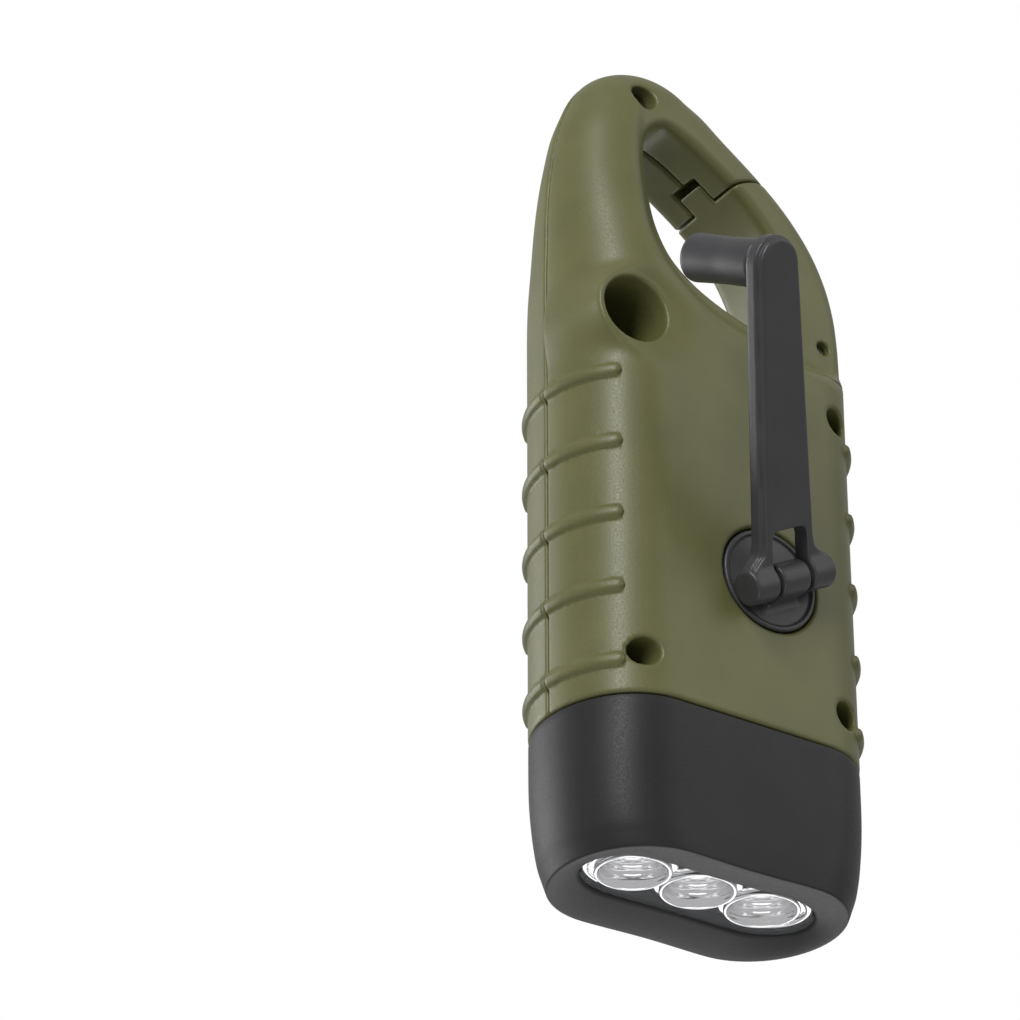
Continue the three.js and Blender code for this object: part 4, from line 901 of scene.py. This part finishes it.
# %% Clear plastic, cell and board
def clear(name, tint, alpha, roughness):
    """Thin clear plastic: mostly see-through, with its gloss kept by a coat and faint haze in patches."""
    finish = Finish(name, Base_Color=tint, Roughness=roughness, Coat_Weight=1.0, Coat_Roughness=0.03)
    finish.give(Alpha=finish.band(finish.noise(3), 0.3, 0.7, alpha * 0.85, alpha * 1.15))
    return finish.material


window_clear = clear("window_clear", colour(200, 205, 210), 0.04, 0.04)
lamp_clear = clear("led_epoxy", colour(236, 240, 245), 0.22, 0.05)

cell = Finish("solar_cell", Roughness=0.32, Coat_Weight=0.6, Coat_Roughness=0.1)
half_strip, half_line = 1.98 * mm, 0.22 * mm
height_on_panel = cell.node("ShaderNodeSeparateXYZ", {}, {0: cell.place}, out=2) - window_bottom * mm
stripe = cell.node("ShaderNodeMath", {"operation": "PINGPONG"}, {0: height_on_panel, 1: half_strip})
line = cell.band(stripe, 0.0, half_line, 1.0, 0.0)
mottle = cell.noise(2.2, 4)
cell.give(Base_Color=cell.mixed(line * 0.75, cell.mixed(mottle, colour(134, 104, 76), colour(146, 116, 87)),
                                colour(176, 142, 112)))
phosphor = Finish("led_phosphor", Roughness=0.5)
phosphor.give(Base_Color=phosphor.mixed(phosphor.noise(0.4), colour(232, 214, 120), colour(244, 232, 160)))
board = Finish("solder_mask", Roughness=0.35)
board.give(Base_Color=board.mixed(board.band(board.noise(1.5, 4), 0.45, 0.55),
                                  colour(24, 84, 48), colour(34, 104, 60)))
print("clear:", window_clear.name, lamp_clear.name, "and", cell.material.name, board.material.name)

# %% [markdown]
# Each new piece gets its finish, and each row also names the record's slot that the finish stands for. The measured
# nodes get a finish as well, and what isn't listed is steel.

# %% Every piece gets its finish
looks = [
    ("olive_shell", olive, [gate, crank_side, solar_side]),
    ("black_shell", black, [head, panel_frame]),
    ("black_shell", crank_black_painted_sheen, [arm, hub_top, knob]),
    ("chrome", chrome, [flange, *cups]),
    ("clear", lamp_clear, lamps),
    ("clear", phosphor.material, chips),
    ("clear", window_clear, [lens]),
    ("inner_black", inner_black, [button]),
    ("steel", steel, [rivet, *fasteners]),
]
for slot_name, material, dressed in looks:
    for shown in dressed:
        shown.data.materials.append(material)
inside = [
    (inner_black, ["lens_gasket", "tact_switch", "battery_tray"]),
    (cell.material, ["solar_cell"]),
    (window_clear, ["solar_window"]),
    (board.material, ["led_board", "main_board"]),
    (nylon, ["drive_gear", "idler_gear_1", "idler_gear_2"]),
    (brass, ["hub_bush", "rotor_pinion"]),
    (magnet, ["rotor_magnet"]),
    (copper, ["coil_bobbin"]),
    (sleeve, ["battery_cell_1", "battery_cell_2", "battery_cell_3"]),
    (insulation, ["wire_battery", "wire_led", "wire_generator"]),
]
node_finish = {name: material for material, names in inside for name in names}
for name, node in nodes.items():
    node.data.materials.clear()
    node.data.materials.append(node_finish.get(name, steel))
print("finished nodes:", len(nodes))

# %% [markdown]
# # Camera and light
# The picture was taken from below the head, from far away with a long lens. The camera's place comes from fitting
# points of the photograph to the model.

# %% Camera
camera_eye, camera_target, focal, film = [333.0, 460.0, -271.3], [37.4, 9.1, 47.5], 158.4, 36
camera = standing("camera", bpy.data.cameras.new("camera"))
camera.data.lens, camera.data.sensor_width, camera.data.clip_end = focal, film, 20
bpy.context.scene.camera = camera


def aimed(shown, eye, target):
    """Stands an object at a point and turns it to face another: its -Z axis runs from the eye to the target."""
    shown.location = eye
    shown.rotation_euler = (Vector(target) - Vector(eye)).to_track_quat("-Z", "Y").to_euler()


aimed(camera, placed(camera_eye), placed(camera_target))
print("camera", round(math.dist(camera_eye, camera_target)), "mm from what it looks at")

# %% [markdown]
# Five oblong lamps stand round the object, as softboxes do in a studio. A narrow one draws the long highlight down
# the side, two wide ones fill front and back, one below lights the cups, and one lights the solar side.

# %% Lights
def softbox(name, eye, wide, tall, watts, target=(0.0, 0.0, 0.07)):
    """Oblong lamp at a point, facing the middle of the object."""
    lamp = bpy.data.lights.new(name, "AREA")
    lamp.shape, lamp.size, lamp.size_y, lamp.energy = "RECTANGLE", wide, tall, watts
    aimed(standing(name, lamp), eye, target)
    print(f"{name}: {watts} W, {wide} by {tall} m")


softbox("strip", (0.83, 0.65, 0.60), 0.14, 1.0, 10)
softbox("front", (-0.60, 0.80, 0.50), 0.9, 0.9, 2.3)
softbox("mirror", (-0.45, -0.70, -0.48), 0.7, 0.7, 2)
softbox("below", (0.1, 0.15, -0.9), 0.8, 0.8, 2.2)
softbox("solar_key", (0.65, -0.95, 0.25), 0.8, 0.8, 7)

# %% [markdown]
# Camera rays see the world as white, while its light is dimmer, and a little stronger in mirrors so that the chrome
# isn't dark. The floor shows only to camera rays from above, so it is never in the way, and it fades out round the
# object, so that no horizon shows.

# %% World and floor
mirror_level, plain_level = 0.46, 0.24
floor_half, floor_drop, fade_start, fade_end = 3, 0.3 * mm, 0.12, 0.6
world = bpy.data.worlds.new("studio")
bpy.context.scene.world = world
world.use_nodes = True
tree = world.node_tree
rays, ground = tree.nodes.new("ShaderNodeLightPath"), tree.nodes["Background"]
ground.inputs["Color"].default_value = (1, 1, 1, 1)
mirrored, level, strength = (tree.nodes.new("ShaderNodeMath") for _ in range(3))
mirrored.operation, level.operation, strength.operation = "MULTIPLY", "MAXIMUM", "MAXIMUM"
mirrored.inputs[1].default_value, level.inputs[1].default_value = mirror_level, plain_level
for source, socket in ((rays.outputs["Is Glossy Ray"], mirrored.inputs[0]), (mirrored.outputs[0], level.inputs[0]),
                       (level.outputs[0], strength.inputs[0]), (rays.outputs["Is Camera Ray"], strength.inputs[1]),
                       (strength.outputs[0], ground.inputs["Strength"])):
    tree.links.new(source, socket)

mesh = bpy.data.meshes.new("floor")
mesh.from_pydata([(x * floor_half, y * floor_half, -floor_drop) for x, y in ((-1, -1), (1, -1), (1, 1), (-1, 1))],
                 [], [(0, 1, 2, 3)])
floor = standing("floor", mesh)
white = Finish("floor_white", Base_Color=(0.92, 0.92, 0.92, 1), Roughness=0.9)
from_below = white.node("ShaderNodeNewGeometry", out="Backfacing")
from_camera = white.node("ShaderNodeLightPath", out="Is Camera Ray")
away = white.node("ShaderNodeVectorMath", {"operation": "LENGTH"}, {0: white.place}, out=1)
kept = white.band(away, fade_start, fade_end, 1.0, 0.0)
choice = white.node("ShaderNodeMixShader", {}, {
    0: from_camera * (1 - from_below) * kept, 1: white.node("ShaderNodeBsdfTransparent"),
    2: Amount(white, white.shader.outputs[0])})
white.tree.links.new(choice.socket, white.tree.nodes["Material Output"].inputs[0])
mesh.materials.append(white.material)
bpy.context.scene.view_settings.view_transform = "Standard"
print("world:", plain_level, "and in mirrors", mirror_level, "with a floor of", 2 * floor_half, "m")
